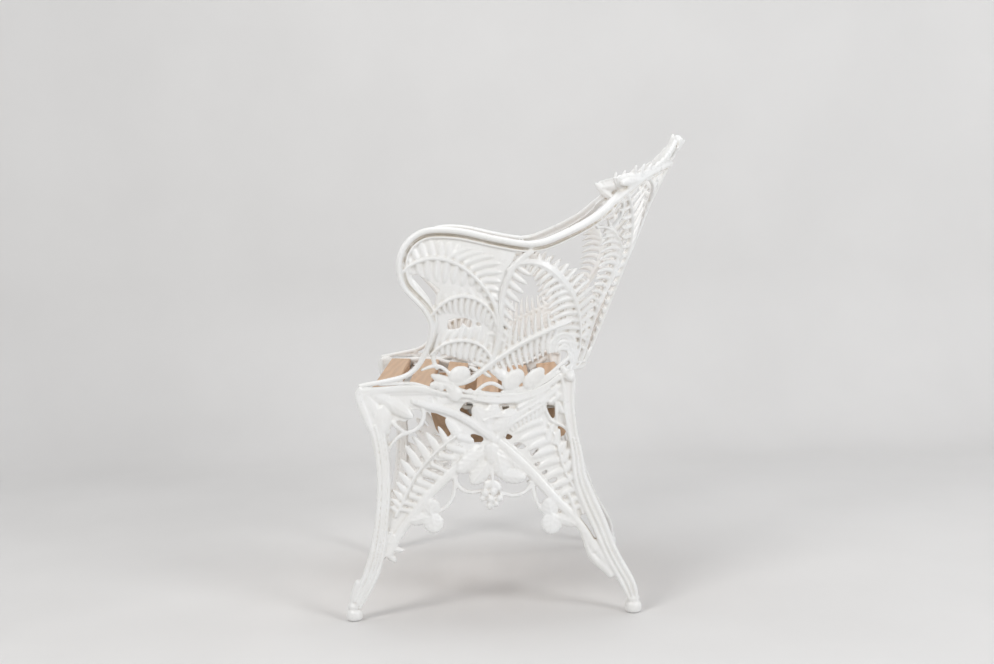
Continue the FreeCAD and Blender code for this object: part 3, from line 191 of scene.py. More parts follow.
def unit(a):
    return a / np.maximum(np.linalg.norm(a, axis=-1, keepdims=True), 1e-9)


def cubic(points, step):
    """Natural cubic spline through points, sampled about every step."""
    P = np.asarray(points, float)
    if len(P) == 2:
        n = max(2, int(np.linalg.norm(P[1] - P[0]) / step) + 1)
        w = np.linspace(0, 1, n)[:, None]
        return P[0] * (1 - w) + P[1] * w
    d = np.linalg.norm(np.diff(P, axis=0), axis=1)
    t = np.concatenate([[0], np.cumsum(np.maximum(d, 1e-6))])
    n = len(P)
    h = np.diff(t)
    A = np.zeros((n, n))
    A[0, 0] = A[-1, -1] = 1
    rhs = np.zeros((n, P.shape[1]))
    for i in range(1, n - 1):
        A[i, i - 1], A[i, i], A[i, i + 1] = h[i - 1], 2 * (h[i - 1] + h[i]), h[i]
        rhs[i] = 6 * ((P[i + 1] - P[i]) / h[i] - (P[i] - P[i - 1]) / h[i - 1])
    M = np.linalg.solve(A, rhs)
    s = np.linspace(0, t[-1], max(3, int(t[-1] / step) + 1))
    k = np.clip(np.searchsorted(t, s, "right") - 1, 0, n - 2)
    a, b = (t[k + 1] - s)[:, None], (s - t[k])[:, None]
    hk = h[k][:, None]
    return (M[k] * a ** 3 + M[k + 1] * b ** 3) / (6 * hk) + (P[k] / hk - M[k] * hk / 6) * a + (P[k + 1] / hk - M[k + 1] * hk / 6) * b


def spread(values, n):
    v = np.atleast_1d(np.asarray(values, float))
    if len(v) == 1:
        return np.full(n, v[0])
    return np.interp(np.linspace(0, 1, n), np.linspace(0, 1, len(v)), v)


def tube(st, points, ra, rn=None, surf=None, h=0.0, m=12, step=2.6, shift=0.0, up=(1, 0, 0)):
    """Bar swept along points. ra: half width in the surface, rn: half thickness along its normal,
    h: lift of its middle off the surface, shift: sideways move in the surface."""
    P = cubic(points, step)
    n = len(P)
    ra = spread(ra, n)
    rn = ra.copy() if rn is None else spread(rn, n)
    hh = spread(h, n)
    if surf is not None:
        P = surf.project(P)
        N = surf.normal(P)
    else:
        N = np.tile(np.asarray(up, float), (n, 1))
    T = unit(np.gradient(P, axis=0))
    N = unit(N - T * np.sum(N * T, 1)[:, None])
    A = np.cross(N, T)
    P = P + N * hh[:, None] + A * spread(shift, n)[:, None]
    T = unit(np.gradient(P, axis=0))
    # rounded ends
    ends = [(0.35, 0.94), (0.75, 0.66), (0.97, 0.25)]
    Ps, As, Ns, Ra, Rn = [P], [A], [N], [ra], [rn]
    for f, g in ends:
        k = min(ra[0], rn[0])
        Ps.insert(0, (P[0] - T[0] * k * f)[None])
        As.insert(0, A[:1])
        Ns.insert(0, N[:1])
        Ra.insert(0, ra[:1] * g)
        Rn.insert(0, rn[:1] * g)
        k = min(ra[-1], rn[-1])
        Ps.append((P[-1] + T[-1] * k * f)[None])
        As.append(A[-1:])
        Ns.append(N[-1:])
        Ra.append(ra[-1:] * g)
        Rn.append(rn[-1:] * g)
    P, A, N, ra, rn = (np.concatenate(x) for x in (Ps, As, Ns, Ra, Rn))
    n = len(P)
    th = np.arange(m) * 2 * math.pi / m
    V = P[:, None] + A[:, None] * (ra[:, None] * np.cos(th))[..., None] + N[:, None] * (rn[:, None] * np.sin(th))[..., None]
    V = V.reshape(-1, 3)
    i, j = np.meshgrid(np.arange(n - 1), np.arange(m), indexing="ij")
    a, b = (i * m + j).ravel(), (i * m + (j + 1) % m).ravel()
    Q = np.stack([a, a + m, b + m, b], 1)
    p0, p1 = len(V), len(V) + 1
    V = np.vstack([V, P[0] - (P[1] - P[0]) * 0.2, P[-1] + (P[-1] - P[-2]) * 0.2])
    j = np.arange(m)
    T0 = np.stack([np.full(m, p0), j, (j + 1) % m], 1)
    T1 = np.stack([np.full(m, p1), (n - 1) * m + (j + 1) % m, (n - 1) * m + j], 1)
    st.add(V, Q, np.vstack([T0, T1]))


def ball(st, c, r, squash=(1, 1, 1), m=12):
    c, r = np.asarray(c, float), float(r)
    k = m // 2
    th = np.linspace(0, math.pi, k + 1)[1:-1]
    ph = np.arange(m) * 2 * math.pi / m
    V = np.stack([np.outer(np.sin(th), np.cos(ph)), np.outer(np.sin(th), np.sin(ph)), np.outer(np.cos(th), np.ones(m))], -1).reshape(-1, 3)
    V = np.vstack([V, [0, 0, 1], [0, 0, -1]]) * r * np.asarray(squash) + c
    n = k - 1
    i, j = np.meshgrid(np.arange(n - 1), np.arange(m), indexing="ij")
    a, b = (i * m + j).ravel(), (i * m + (j + 1) % m).ravel()
    Q = np.stack([a, a + m, b + m, b], 1)
    j = np.arange(m)
    T0 = np.stack([np.full(m, n * m), j, (j + 1) % m], 1)
    T1 = np.stack([np.full(m, n * m + 1), (n - 1) * m + (j + 1) % m, (n - 1) * m + j], 1)
    st.add(V, Q, np.vstack([T0, T1]))


def turned(st, c, profile, m=28):
    """Solid of revolution about the vertical through c; profile is (radius, height) from the base up."""
    pr = cubic(profile, 1.2)
    th = np.arange(m) * 2 * math.pi / m
    V = np.stack([np.outer(pr[:, 0], np.cos(th)) + c[0], np.outer(pr[:, 0], np.sin(th)) + c[1], np.outer(pr[:, 1], np.ones(m)) + c[2]], -1)
    n = len(pr)
    V = np.vstack([V.reshape(-1, 3), [c[0], c[1], c[2] + pr[0, 1]], [c[0], c[1], c[2] + pr[-1, 1]]])
    i, j = np.meshgrid(np.arange(n - 1), np.arange(m), indexing="ij")
    a, b = (i * m + j).ravel(), (i * m + (j + 1) % m).ravel()
    Q = np.stack([a, b, b + m, a + m], 1)
    j = np.arange(m)
    T0 = np.stack([np.full(m, n * m), (j + 1) % m, j], 1)
    T1 = np.stack([np.full(m, n * m + 1), (n - 1) * m + j, (n - 1) * m + (j + 1) % m], 1)
    st.add(V, Q, np.vstack([T0, T1]))


def march(surf, B, D, L, K, ns):
    """Lines that start at B towards D, keep to the surface and turn by K over their length L."""
    P = surf.project(B)
    N = surf.normal(P)
    D = unit(D - N * np.sum(D * N, 1)[:, None])
    Ps, Ds, Ns = [P], [D], [N]
    step = (L / ns)[:, None]
    w = (K / ns)[:, None]
    for _ in range(ns):
        A = np.cross(N, D)
        D = D * np.cos(w) + A * np.sin(w)
        P = surf.project(P + D * step)
        N = surf.normal(P)
        D = unit(D - N * np.sum(D * N, 1)[:, None])
        Ps.append(P)
        Ds.append(D)
        Ns.append(N)
    return np.stack(Ps, 1), np.stack(Ds, 1), np.stack(Ns, 1)


TOPV = np.array([-1, -0.7, -0.4, -0.14, 0.0, 0.14, 0.4, 0.7, 1])
BOTV = np.array([0.6, 0.0, -0.6])


def leaflets(st, surf, B, D, L, W, K=0.0, T=3.0, back=2.0, ridge=1.2, h=0.0, lift=0.0, ns=10, root=0.55, tip=2.4, scallop=0.0, lobes=5, crease=0.0, full=0.42, edge=0.3):
    """Row of fern leaflets. W: half width, T: crown above the surface, back: thickness below it."""
    B = np.atleast_2d(np.asarray(B, float))
    n = len(B)
    D = np.broadcast_to(np.asarray(D, float), (n, 3))
    L, W, K, T, h, lift = (np.broadcast_to(np.asarray(x, float), (n,)).astype(float) for x in (L, W, K, T, h, lift))
    P, Dd, N = march(surf, B, D, L, K, ns)
    A = np.cross(N, Dd)
    s = np.linspace(0, 1, ns + 1)
    wid = (root + (1 - root) * np.sin(np.minimum(1, s / full) * math.pi / 2)) * np.maximum(0, 1 - s ** tip) ** 0.75
    if scallop:
        wid = wid * (1 - scallop + scallop * np.abs(np.cos(math.pi * lobes * s)) ** 0.7)
    wid[0] *= 0.6
    deep = np.sqrt(np.maximum(0.02, 1 - s ** 5)) * (1 - 0.35 * s)
    wid[-1] = 0.0
    top = edge + (1 - edge) * (1 - np.abs(TOPV) ** 2.2) - crease * np.exp(-(TOPV / 0.2) ** 2)
    ribs = ridge * np.exp(-(TOPV / 0.17) ** 2)
    rows = []
    for i in range(1, ns):
        c = P[:, i] + N[:, i] * (h + lift * s[i] ** 1.5)[:, None]
        w = (W * wid[i])[:, None]
        up = c[:, None] + A[:, i, None] * (w * TOPV)[..., None] + N[:, i, None] * ((T[:, None] * top + ribs) * deep[i])[..., None]
        dn = c[:, None] + A[:, i, None] * (w * BOTV)[..., None] - N[:, i, None] * (back * deep[i] * (1 - 0.3 * np.abs(BOTV)))[None, :, None]
        rows.append(np.concatenate([up, dn], 1))
    R = np.stack(rows, 1)
    k, m = R.shape[1], R.shape[2]
    ends = np.stack([P[:, 0] + N[:, 0] * h[:, None], P[:, -1] + N[:, -1] * (h + lift)[:, None]], 1)
    V = np.concatenate([R.reshape(n, -1, 3), ends], 1)
    i, j = np.meshgrid(np.arange(k - 1), np.arange(m), indexing="ij")
    a, b = (i * m + j).ravel(), (i * m + (j + 1) % m).ravel()
    Q = np.stack([a, a + m, b + m, b], 1)[:, ::-1]
    j = np.arange(m)
    T0 = np.stack([np.full(m, k * m), j, (j + 1) % m], 1)[:, ::-1]
    T1 = np.stack([np.full(m, k * m + 1), (k - 1) * m + (j + 1) % m, (k - 1) * m + j], 1)[:, ::-1]
    per = V.shape[1]
    off = (np.arange(n) * per)[:, None, None]
    st.add(V.reshape(-1, 3), (Q[None] + off).reshape(-1, 4), (np.vstack([T0, T1])[None] + off).reshape(-1, 3))


def between(surf, B, E, K, grow=1.0):
    """Start directions and arc lengths of arcs from B to E that turn by K."""
    C = E - B
    d = np.linalg.norm(C, axis=1)
    N = surf.normal(surf.project((B + E) / 2))
    C = unit(C - N * np.sum(C * N, 1)[:, None])
    A = np.cross(N, C)
    K = np.broadcast_to(np.asarray(K, float), (len(B),))
    a = K / 2
    D = C * np.cos(a)[:, None] - A * np.sin(a)[:, None]
    L = d * np.where(np.abs(a) > 1e-3, a / np.sin(np.where(np.abs(a) > 1e-3, a, 1.0)), 1.0) * grow
    return D, L


def walk(line, s):
    """Points at fractions s of the length of a sampled line."""
    d = np.concatenate([[0], np.cumsum(np.linalg.norm(np.diff(line, axis=0), axis=1))])
    d /= d[-1]
    return np.stack([np.interp(s, d, line[:, k]) for k in range(3)], 1)


def row(st, surf, spine, tips, n, s0=0.0, s1=1.0, t0=0.0, t1=1.0, K=0.0, **kw):
    """Leaflets from a spine to a line of tips."""
    S, E = cubic(spine, 2.0), cubic(tips, 2.0)
    f = np.linspace(0, 1, n)
    B = walk(S, s0 + (s1 - s0) * f)
    Q = walk(E, t0 + (t1 - t0) * f)
    K = spread(K, n)
    for key in ("W", "T", "h", "lift"):
        if key in kw and not np.isscalar(kw[key]):
            kw[key] = spread(kw[key], n)
    D, L = between(surf, B, Q, K)
    leaflets(st, surf, B, D, L, K=K, **kw)


def blade(st, surf, base, tip, width, K=0.0, crown=3.0, T=2.6, h=0.0, lift=0.0, veins=5, vein=0.9, serr=9, bite=0.06, fat=0.62, cup=0.0, point=0.75, ns=26, nv=19):
    """One broad leaf with midrib, side veins and a toothed edge."""
    B, E = np.asarray(base, float)[None], np.asarray(tip, float)[None]
    D, L = between(surf, B, E, np.array([K]))
    P, Dd, N = march(surf, B, D, L, np.array([K]), ns)
    P, Dd, N = P[0], Dd[0], N[0]
    A = np.cross(N, Dd)
    s = np.linspace(0, 1, ns + 1)
    v = np.linspace(-1, 1, nv)
    f = np.sin(math.pi * np.clip(s, 0, 1) ** fat) ** point
    tooth = 1 - bite * (0.5 - 0.5 * np.cos(2 * math.pi * serr * s))
    w = width / 2 * f * tooth
    S, Vv = np.meshgrid(s, v, indexing="ij")
    rib = 1.3 * vein * np.exp(-(Vv * w[:, None] / 1.5) ** 2) * (1 - 0.5 * S)
    phase = (S - 0.30 * np.abs(Vv)) * veins
    line = np.exp(-((phase - np.round(phase)) * 3.4) ** 2 * 3)
    side = vein * 0.75 * line * (np.abs(Vv) < 0.93)
    dome = crown * (1 - Vv ** 2) ** 0.8 * np.clip(f, 0, 1)[:, None] ** 0.6 - cup * (np.abs(Vv) ** 2.5) * 0
    sink = -cup * np.exp(-(Vv / 0.28) ** 2) * np.clip(f, 0, 1)[:, None]
    H = dome + sink + rib + side
    base_h = (h + lift * s ** 1.4)[:, None]
    top = P[:, None] + A[:, None] * (w[:, None] * v)[..., None] + N[:, None] * (base_h + H + T * 0.35)[..., None]
    bot = P[:, None] + A[:, None] * (w[:, None] * v)[..., None] + N[:, None] * (base_h + (dome + sink) * 0.55 - T * 0.65)[..., None]
    R = np.concatenate([top, bot[:, ::-1]], 1)[1:-1]
    k, m = R.shape[0], R.shape[1]
    ends = np.stack([P[0] + N[0] * h, P[-1] + N[-1] * (h + lift)])
    V = np.vstack([R.reshape(-1, 3), ends])
    i, j = np.meshgrid(np.arange(k - 1), np.arange(m), indexing="ij")
    a, b = (i * m + j).ravel(), (i * m + (j + 1) % m).ravel()
    Q = np.stack([a, a + m, b + m, b], 1)[:, ::-1]
    j = np.arange(m)
    T0 = np.stack([np.full(m, k * m), j, (j + 1) % m], 1)[:, ::-1]
    T1 = np.stack([np.full(m, k * m + 1), (k - 1) * m + (j + 1) % m, (k - 1) * m + j], 1)[:, ::-1]
    st.add(V, Q, np.vstack([T0, T1]))


def inside(poly, P):
    """Even-odd test of points against a closed outline."""
    q = np.asarray(poly, float)
    r = np.roll(q, -1, 0)
    x, y = P[:, 0][:, None], P[:, 1][:, None]
    up = (q[None, :, 1] > y) != (r[None, :, 1] > y)
    dy = np.where(np.abs(r[:, 1] - q[:, 1]) < 1e-9, 1e-9, r[:, 1] - q[:, 1])
    cx = (r[:, 0] - q[:, 0])[None] * (y - q[None, :, 1]) / dy[None] + q[None, :, 0]
    return (np.sum(up & (x < cx), 1) % 2) == 1


def nearest_on(poly, P):
    """Nearest points of a closed outline."""
    q = np.asarray(poly, float)
    r = np.roll(q, -1, 0)
    d = r - q
    t = np.clip(np.einsum("pkc,kc->pk", P[:, None] - q[None], d) / np.maximum(np.sum(d * d, 1), 1e-9)[None], 0, 1)
    X = q[None] + d[None] * t[..., None]
    k = np.argmin(np.linalg.norm(P[:, None] - X, axis=2), 1)
    return X[np.arange(len(P)), k]


def smooth_outline(points, step=1.2):
    P = np.asarray(points, float)
    Q = np.vstack([P, P[:1]])
    out = []
    for a, b in zip(Q[:-1], Q[1:]):
        n = max(1, int(np.linalg.norm(b - a) / step))
        out.append(a + (b - a) * (np.arange(n) / n)[:, None])
    R = np.concatenate(out)
    for _ in range(3):
        R = (np.roll(R, 1, 0) + 2 * R + np.roll(R, -1, 0)) / 4
    return R


def sheet(st, surf, outline, holes, h, t, cell=0.9):
    """Pierced sheet on a surface: outline and openings are given as places in the picture."""
    out = smooth_outline(outline)
    cuts = [smooth_outline(q, 0.6) for q in holes]
    lo, hi = out.min(0) - cell, out.max(0) + cell
    nu, nv = (int(x) + 1 for x in (hi - lo) / cell)
    ci, cj = np.meshgrid(np.arange(nu), np.arange(nv), indexing="ij")
    C = np.stack([lo[0] + (ci.ravel() + 0.5) * cell, lo[1] + (cj.ravel() + 0.5) * cell], 1)
    ok = inside(out, C)
    for q in cuts:
        ok &= ~inside(q, C)
    ok = ok.reshape(nu, nv)
    gi, gj = np.meshgrid(np.arange(nu + 1), np.arange(nv + 1), indexing="ij")
    G = np.stack([lo[0] + gi.ravel() * cell, lo[1] + gj.ravel() * cell], 1)
    pad = np.zeros((nu + 2, nv + 2), bool)
    pad[1:-1, 1:-1] = ok
    near = np.stack([pad[:-1, :-1], pad[1:, :-1], pad[:-1, 1:], pad[1:, 1:]])
    used = near.any(0).ravel()
    rim = used & ~near.all(0).ravel()
    k = np.where(rim)[0]
    best, dist = G[k].copy(), np.full(len(k), 9.0)
    for q in [out] + cuts:
        X = nearest_on(q, G[k])
        d = np.linalg.norm(X - G[k], axis=1)
        m = d < dist
        best[m], dist[m] = X[m], d[m]
    G[k] = best
    P = surf.project(surf.seen(G[used]))
    Nn = surf.normal(P)
    idx = np.full(len(G), -1)
    idx[used] = np.arange(int(used.sum()))
    n = int(used.sum())
    V = np.vstack([P + Nn * (h + t / 2), P + Nn * (h - t / 2)])
    at = idx.reshape(nu + 1, nv + 1)
    i, j = np.where(ok)
    top = np.stack([at[i, j], at[i + 1, j], at[i + 1, j + 1], at[i, j + 1]], 1)
    Q = [top[:, ::-1], top + n]
    for di, dj, (a0, a1), (b0, b1) in ((-1, 0, (0, 0), (0, 1)), (1, 0, (1, 1), (1, 0)), (0, -1, (1, 0), (0, 0)), (0, 1, (0, 1), (1, 1))):
        m = ~pad[i + 1 + di, j + 1 + dj]
        a, b = at[i[m] + a0, j[m] + a1], at[i[m] + b0, j[m] + b1]
        Q.append(np.stack([a, b, b + n, a + n], 1)[:, ::-1])
    st.add(V, np.concatenate(Q))


def comb(st, surf, rows, K, **kw):
    """Leaflets listed one by one as base, tip and width in the picture."""
    B, E = surf.seen([q[0] for q in rows]), surf.seen([q[1] for q in rows])
    B, E = surf.project(B), surf.project(E)
    W = np.array([q[2] for q in rows]) * 1.74 / 2
    D, L = between(surf, B, E, K)
    leaflets(st, surf, B, D, L, W, K=K, **kw)


def berry(st, c, r, out=(1, 0, 0)):
    """Bramble fruit: a core covered with drupelets."""
    c = np.asarray(c, float)
    ball(st, c, r * 0.82, m=14)
    k = 26
    g = math.pi * (3 - math.sqrt(5))
    for i in range(k):
        z = 1 - 2 * (i + 0.5) / k
        q = math.sqrt(1 - z * z)
        d = np.array([z, q * math.cos(g * i), q * math.sin(g * i)])
        ball(st, c + d * r * 0.74, r * 0.33, m=8)


# ------------------------------------------------------------------ melting a stock into one skin
def cast(name, st, voxel, keep=None, smooth=3, mirror_of=None):
    V, Q, T = st.arrays()
    mesh = bpy.data.meshes.new(name + "_stock")
    nv, nq, nt = len(V), len(Q), len(T)
    mesh.vertices.add(nv)
    mesh.vertices.foreach_set("co", (V * 0.001).ravel())
    loops = np.concatenate([Q.ravel(), T.ravel()]).astype(np.int32)
    mesh.loops.add(len(loops))
    mesh.loops.foreach_set("vertex_index", loops)
    starts = np.concatenate([np.arange(nq) * 4, nq * 4 + np.arange(nt) * 3]).astype(np.int32)
    mesh.polygons.add(nq + nt)
    mesh.polygons.foreach_set("loop_start", starts)
    mesh.update(calc_edges=True)
    mesh.validate()
    ob = bpy.data.objects.new(name, mesh)
    bpy.context.scene.collection.objects.link(ob)
    m = ob.modifiers.new("melt", "REMESH")
    m.mode = "VOXEL"
    m.voxel_size = voxel * 0.001 * 1.0
    m.use_smooth_shade = True
    sm = ob.modifiers.new("soften", "SMOOTH")
    sm.factor = 0.5
    sm.iterations = smooth
    dg = bpy.context.evaluated_depsgraph_get()
    done = bpy.data.meshes.new_from_object(ob.evaluated_get(dg))
    ob.modifiers.clear()
    ob.data = done
    done.name = name
    bpy.data.meshes.remove(mesh)
    tris = sum(len(p.vertices) - 2 for p in done.polygons) if False else len(done.loops) - 2 * len(done.polygons)
    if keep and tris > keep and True:
        dm = ob.modifiers.new("thin", "DECIMATE")
        dm.ratio = keep / tris
        dg = bpy.context.evaluated_depsgraph_get()
        thin = bpy.data.meshes.new_from_object(ob.evaluated_get(dg))
        ob.modifiers.clear()
        ob.data = thin
        bpy.data.meshes.remove(done)
        thin.name = name
    for p in ob.data.polygons:
        p.use_smooth = True
    print("cast", name, "stock", nv, "->", len(ob.data.vertices), "verts", tris, "tris")
    return ob


def mirror_copy(ob, name):
    me = ob.data.copy()
    me.name = name
    co = np.zeros(len(me.vertices) * 3)
    me.vertices.foreach_get("co", co)
    co = co.reshape(-1, 3) * np.array([-1.0, 1, 1])
    me.vertices.foreach_set("co", co.ravel())
    me.flip_normals()
    me.update()
    o = bpy.data.objects.new(name, me)
    bpy.context.scene.collection.objects.link(o)
    return o


# ------------------------------------------------------------------ end frame (leg casting)
def S(points):
    return SIDE.seen(points)


def yz(points, x=245.0):
    P = np.asarray(points, float)
    return np.stack([np.full(len(P), x), P[:, 0], P[:, 1]], 1)


FRONT_OUT = [(-288.5, 408.6), (-291.6, 396.9), (-288.4, 381.9), (-282.9, 366.0), (-276.6, 350.0), (-270.3, 334.0), (-265.8, 316.3), (-262.4, 291.6), (-260.9, 261.6), (-261.8, 229.9), (-264.6, 198.1), (-268.8, 168.0), (-275.3, 136.2), (-285.3, 102.6), (-299.0, 65.5), (-310.6, 39.0), (-316.0, 22.7)]
FRONT_IN = [(-262.0, 406.0), (-252.5, 385.0), (-246.5, 362.0), (-243.5, 334.9), (-240.1, 306.8), (-237.9, 282.1), (-237.3, 250.3), (-239.0, 215.0), (-242.5, 181.4), (-247.4, 144.2), (-253.6, 108.8), (-264.7, 76.9), (-280.0, 48.6), (-297.0, 22.1)]
REAR_OUT = [(72.4, 437.1), (84.3, 431.5), (86.0, 394.9), (86.8, 351.1), (90.2, 317.7), (98.1, 284.0), (101.8, 254.0), (109.9, 229.0), (125.5, 191.3), (138.7, 158.9), (148.5, 128.4), (161.9, 97.6), (175.4, 72.2), (186.4, 48.5), (188.1, 19.8)]
REAR_IN = [(62.0, 430.0), (65.0, 378.0), (69.8, 334.1), (76.6, 290.0), (79.2, 245.9), (86.6, 211.6), (98.8, 178.9), (110.8, 150.0), (122.0, 122.8), (131.7, 100.0), (141.4, 80.8), (151.3, 62.3), (162.1, 40.5), (171.3, 20.4)]
REAR_WEB = [(70.0, 215.0), (79.6, 190.6), (84.8, 166.9), (93.8, 144.0), (101.0, 121.8), (112.7, 98.0), (129.4, 82.8), (141.3, 68.3)]
RAIL_TOP = [(-287.3, 401.2), (-276.3, 404.2), (-255.4, 407.9), (-231.1, 409.8), (-196.5, 410.5), (-163.8, 406.0), (-150.1, 400.5), (-132.9, 397.2), (-110.5, 393.6), (-86.4, 390.0), (-57.0, 387.4), (-27.6, 387.1), (-5.1, 390.0), (17.6, 396.3), (36.9, 405.3), (56.3, 418.7), (72.2, 431.9)]
RAIL_BOT = [(-265.4, 372.4), (-232.3, 376.6), (-197.7, 376.5), (-173.5, 374.8), (-150.9, 377.6), (-133.5, 376.9), (-111.1, 374.4), (-87.0, 371.2), (-57.6, 369.5), (-31.6, 369.5), (-5.5, 371.3), (17.1, 376.0), (36.3, 382.7), (55.4, 389.6), (76.1, 398.6)]
STEM_A = [(-192.2, 384.2), (-164.9, 373.7), (-139.1, 366.8), (-116.9, 357.4), (-96.5, 345.4), (-76.1, 330.7), (-54.1, 313.3), (-32.1, 293.3), (-11.8, 273.3), (10.2, 249.7), (30.4, 226.1), (49.0, 204.3), (66.0, 186.0), (83.0, 166.0), (99.9, 142.3), (115.0, 114.1)]
STEM_B = [(54.1, 400.3), (34.7, 384.2), (8.3, 369.3), (-14.7, 354.2), (-36.1, 333.9), (-54.1, 313.3), (-75.5, 294.7), (-98.6, 279.5), (-125.2, 261.0), (-150.4, 238.8), (-170.2, 219.9), (-186.5, 201.0), (-202.9, 180.2), (-217.5, 162.9), (-230.5, 143.7), (-246.7, 113.6)]


# closed sheets and their openings, as places in the picture
LEG_SHEET = [(366, 396), (400, 392), (440, 396), (475, 400), (510, 401), (545, 396), (560, 384), (572, 376), (573.5, 430), (582, 466), (589, 498), (585, 504), (580, 519), (566, 504.5), (556, 494.5), (545, 483.5), (533, 470.5), (520, 457.5), (508, 446.5), (495, 441), (483, 449), (470, 458), (457, 470), (443, 482), (431, 493), (420, 505), (410, 518), (402, 530), (394, 546), (388.6, 546), (388.6, 520), (390, 500), (391, 470), (388, 445), (385, 433), (376, 430), (369, 410)]
O_RAIL = [[(432, 397), (435, 396.6), (437.4, 400.4), (435.8, 403), (432.4, 401.6)], [(438.6, 396.2), (442.8, 396.4), (442.0, 398.8), (439.2, 398.0)]]
RAIL_SHEET = [(361, 391), (377, 387.6), (400, 386.4), (430, 387.4), (448, 392), (475, 395), (509, 396.6), (535, 391), (557, 378), (567, 370), (572, 374), (572, 394), (557, 397.6), (535, 402.6), (513, 404.2), (500, 403.4), (475, 402.6), (462, 401.6), (448, 403.4), (425, 405.6), (391, 406), (370, 409)]
LEG_HOLES = [
    [(388.5, 432), (390, 427.5), (394.5, 425.8), (397.5, 420.5), (405, 422.5), (410.6, 418.4), (411, 411), (415.4, 409.6), (425, 412), (436, 413.6), (446, 418), (452.6, 423.6), (452.4, 433.4), (444, 440.4), (434, 449.6), (425.4, 458), (417, 468), (410, 479), (404, 491), (399, 502), (393, 513), (389.8, 509), (391.2, 494), (391.6, 475), (390.6, 455)],
    [(448.2, 441.6), (456, 443.6), (463.6, 446.4), (463.2, 448.0), (455, 446.6), (449, 443.8)],
    [(440.6, 449.6), (446, 450.4), (453.6, 453.0), (453, 454.6), (446, 453.8)],
    [(432, 459.4), (438, 461.4), (450.8, 460.8), (451.2, 471.8), (444.6, 471.2), (437, 466.6)],
    [(423.0, 466.8), (430, 468.4), (438, 471), (447.4, 474.4), (444, 476.0), (434, 473.8), (427, 470.8)],
    [(416.8, 475.6), (425, 478.2), (437, 482.0), (434.4, 483.6), (425, 481.0)],
    [(411.8, 484.2), (420, 486.2), (428, 489.6), (425, 491.0), (417, 488.4)],
    [(410.4, 492.2), (418, 493.6), (424.8, 495.8), (418.6, 496.2)],
    [(405.6, 498.6), (412, 499.8), (418.6, 502.2), (412, 502.0)],
    [(399.6, 505.4), (407, 506.0), (414.4, 507.8), (407, 508.0)],
    [(459.5, 410), (464, 404), (469, 401.8), (473, 405), (474, 412), (472.4, 417.4), (466, 416.4), (461, 412.8)],
    [(502.4, 404.8), (506, 404.4), (512.4, 410.6), (506, 412.4), (502.6, 411)],
    [(545, 404.2), (550, 405.6), (555.4, 406), (554.8, 417), (552, 420), (547.6, 414)],
    [(540.8, 425.2), (541.4, 420.4), (544.2, 419.6), (543.6, 423.4)],
    [(470.2, 434.8), (474, 434.2), (482.4, 437), (483.8, 440), (480, 443.8), (473, 443.4), (470.6, 438)],
    [(557.2, 426.6), (561, 425.6), (566.2, 431), (568, 440.4), (561, 441), (560.8, 433)],
    [(504.2, 435.6), (508, 434.0), (513.2, 436.6), (510, 439.8), (506, 439.4)],
    [(512.6, 443.4), (520, 443.2), (526.4, 446.6), (522, 449.4), (516.6, 447.6)],
    [(529.6, 451.4), (533, 450.0), (539, 447.6), (537, 453.6), (531.4, 456.2)],
    [(533.8, 464.4), (539.8, 461.4), (539.0, 465.4), (535.4, 466.6)],
    [(541.2, 473.2), (548.0, 469.2), (546.4, 473.6), (543, 475.4)],
    [(547.2, 480.8), (552, 478.8), (558.4, 478.2), (555, 482), (550, 483.6)],
    [(553.8, 488.6), (558, 486.8), (564.4, 486.4), (560, 489.6), (556, 490.4)],
    [(562.0, 496.4), (567.6, 494.4), (566.4, 498.0), (563.4, 498.8)],
]
ARM_SHEET = [(401.5, 268), (402, 258), (406, 248), (413, 241), (424, 236.5), (440, 235), (458, 236.5), (478, 240.5), (500, 245.5), (518, 248), (514, 258), (507, 272), (502.5, 290), (500.5, 310), (500, 335), (496, 352), (491, 362), (482, 365.5), (489, 353), (483, 346.5), (474, 341.5), (462, 339.6), (450, 341.2), (440, 346.0), (434, 352.5), (430, 352), (433.5, 338), (436, 322), (433, 311), (426, 301.5), (416, 290), (408, 279)]
ARM_HOLES = [
    [(409.5, 278.0), (412.4, 275.0), (417, 274.6), (424, 278.8), (431, 283.0), (437, 287.0), (441.6, 292.2), (442.4, 297.4), (437.6, 300.6), (431.6, 308.0), (424.6, 299.0), (416.4, 288.8)],
    [(448, 320.6), (453, 318.6), (460, 317.8), (466, 318.4), (471.4, 320.4), (472, 325), (469.8, 328.0), (466, 326.2), (463, 322.6), (459, 328.4), (453, 329.4), (447.6, 329.6)],
    [(475.6, 322.6), (479.6, 322.0), (481.6, 326.0), (477.6, 326.4)],
]


def along(A, B, f, n=60):
    """Line at fraction f of the way from side A to side B, and the local distance between them."""
    a, b = walk(cubic(yz(A), 2.0), np.linspace(0, 1, n)), walk(cubic(yz(B), 2.0), np.linspace(0, 1, n))
    return a * (1 - f) + b * f, np.linalg.norm(b - a, axis=1)


def strand(st, A, B, f, w, rn=5.0, h=5.0, lo=0.0, hi=1.0, **kw):
    """Bead that follows fraction f between two edges; w is its half width as a share of the gap."""
    P, gap = along(A, B, f)
    k0, k1 = int(lo * 59), int(hi * 59)
    P, gap = P[k0:k1 + 1], gap[k0:k1 + 1]
    tube(st, P[::3] if len(P) > 12 else P, gap[::3] * w if len(P) > 12 else gap * w, rn, SIDE, h, **kw)


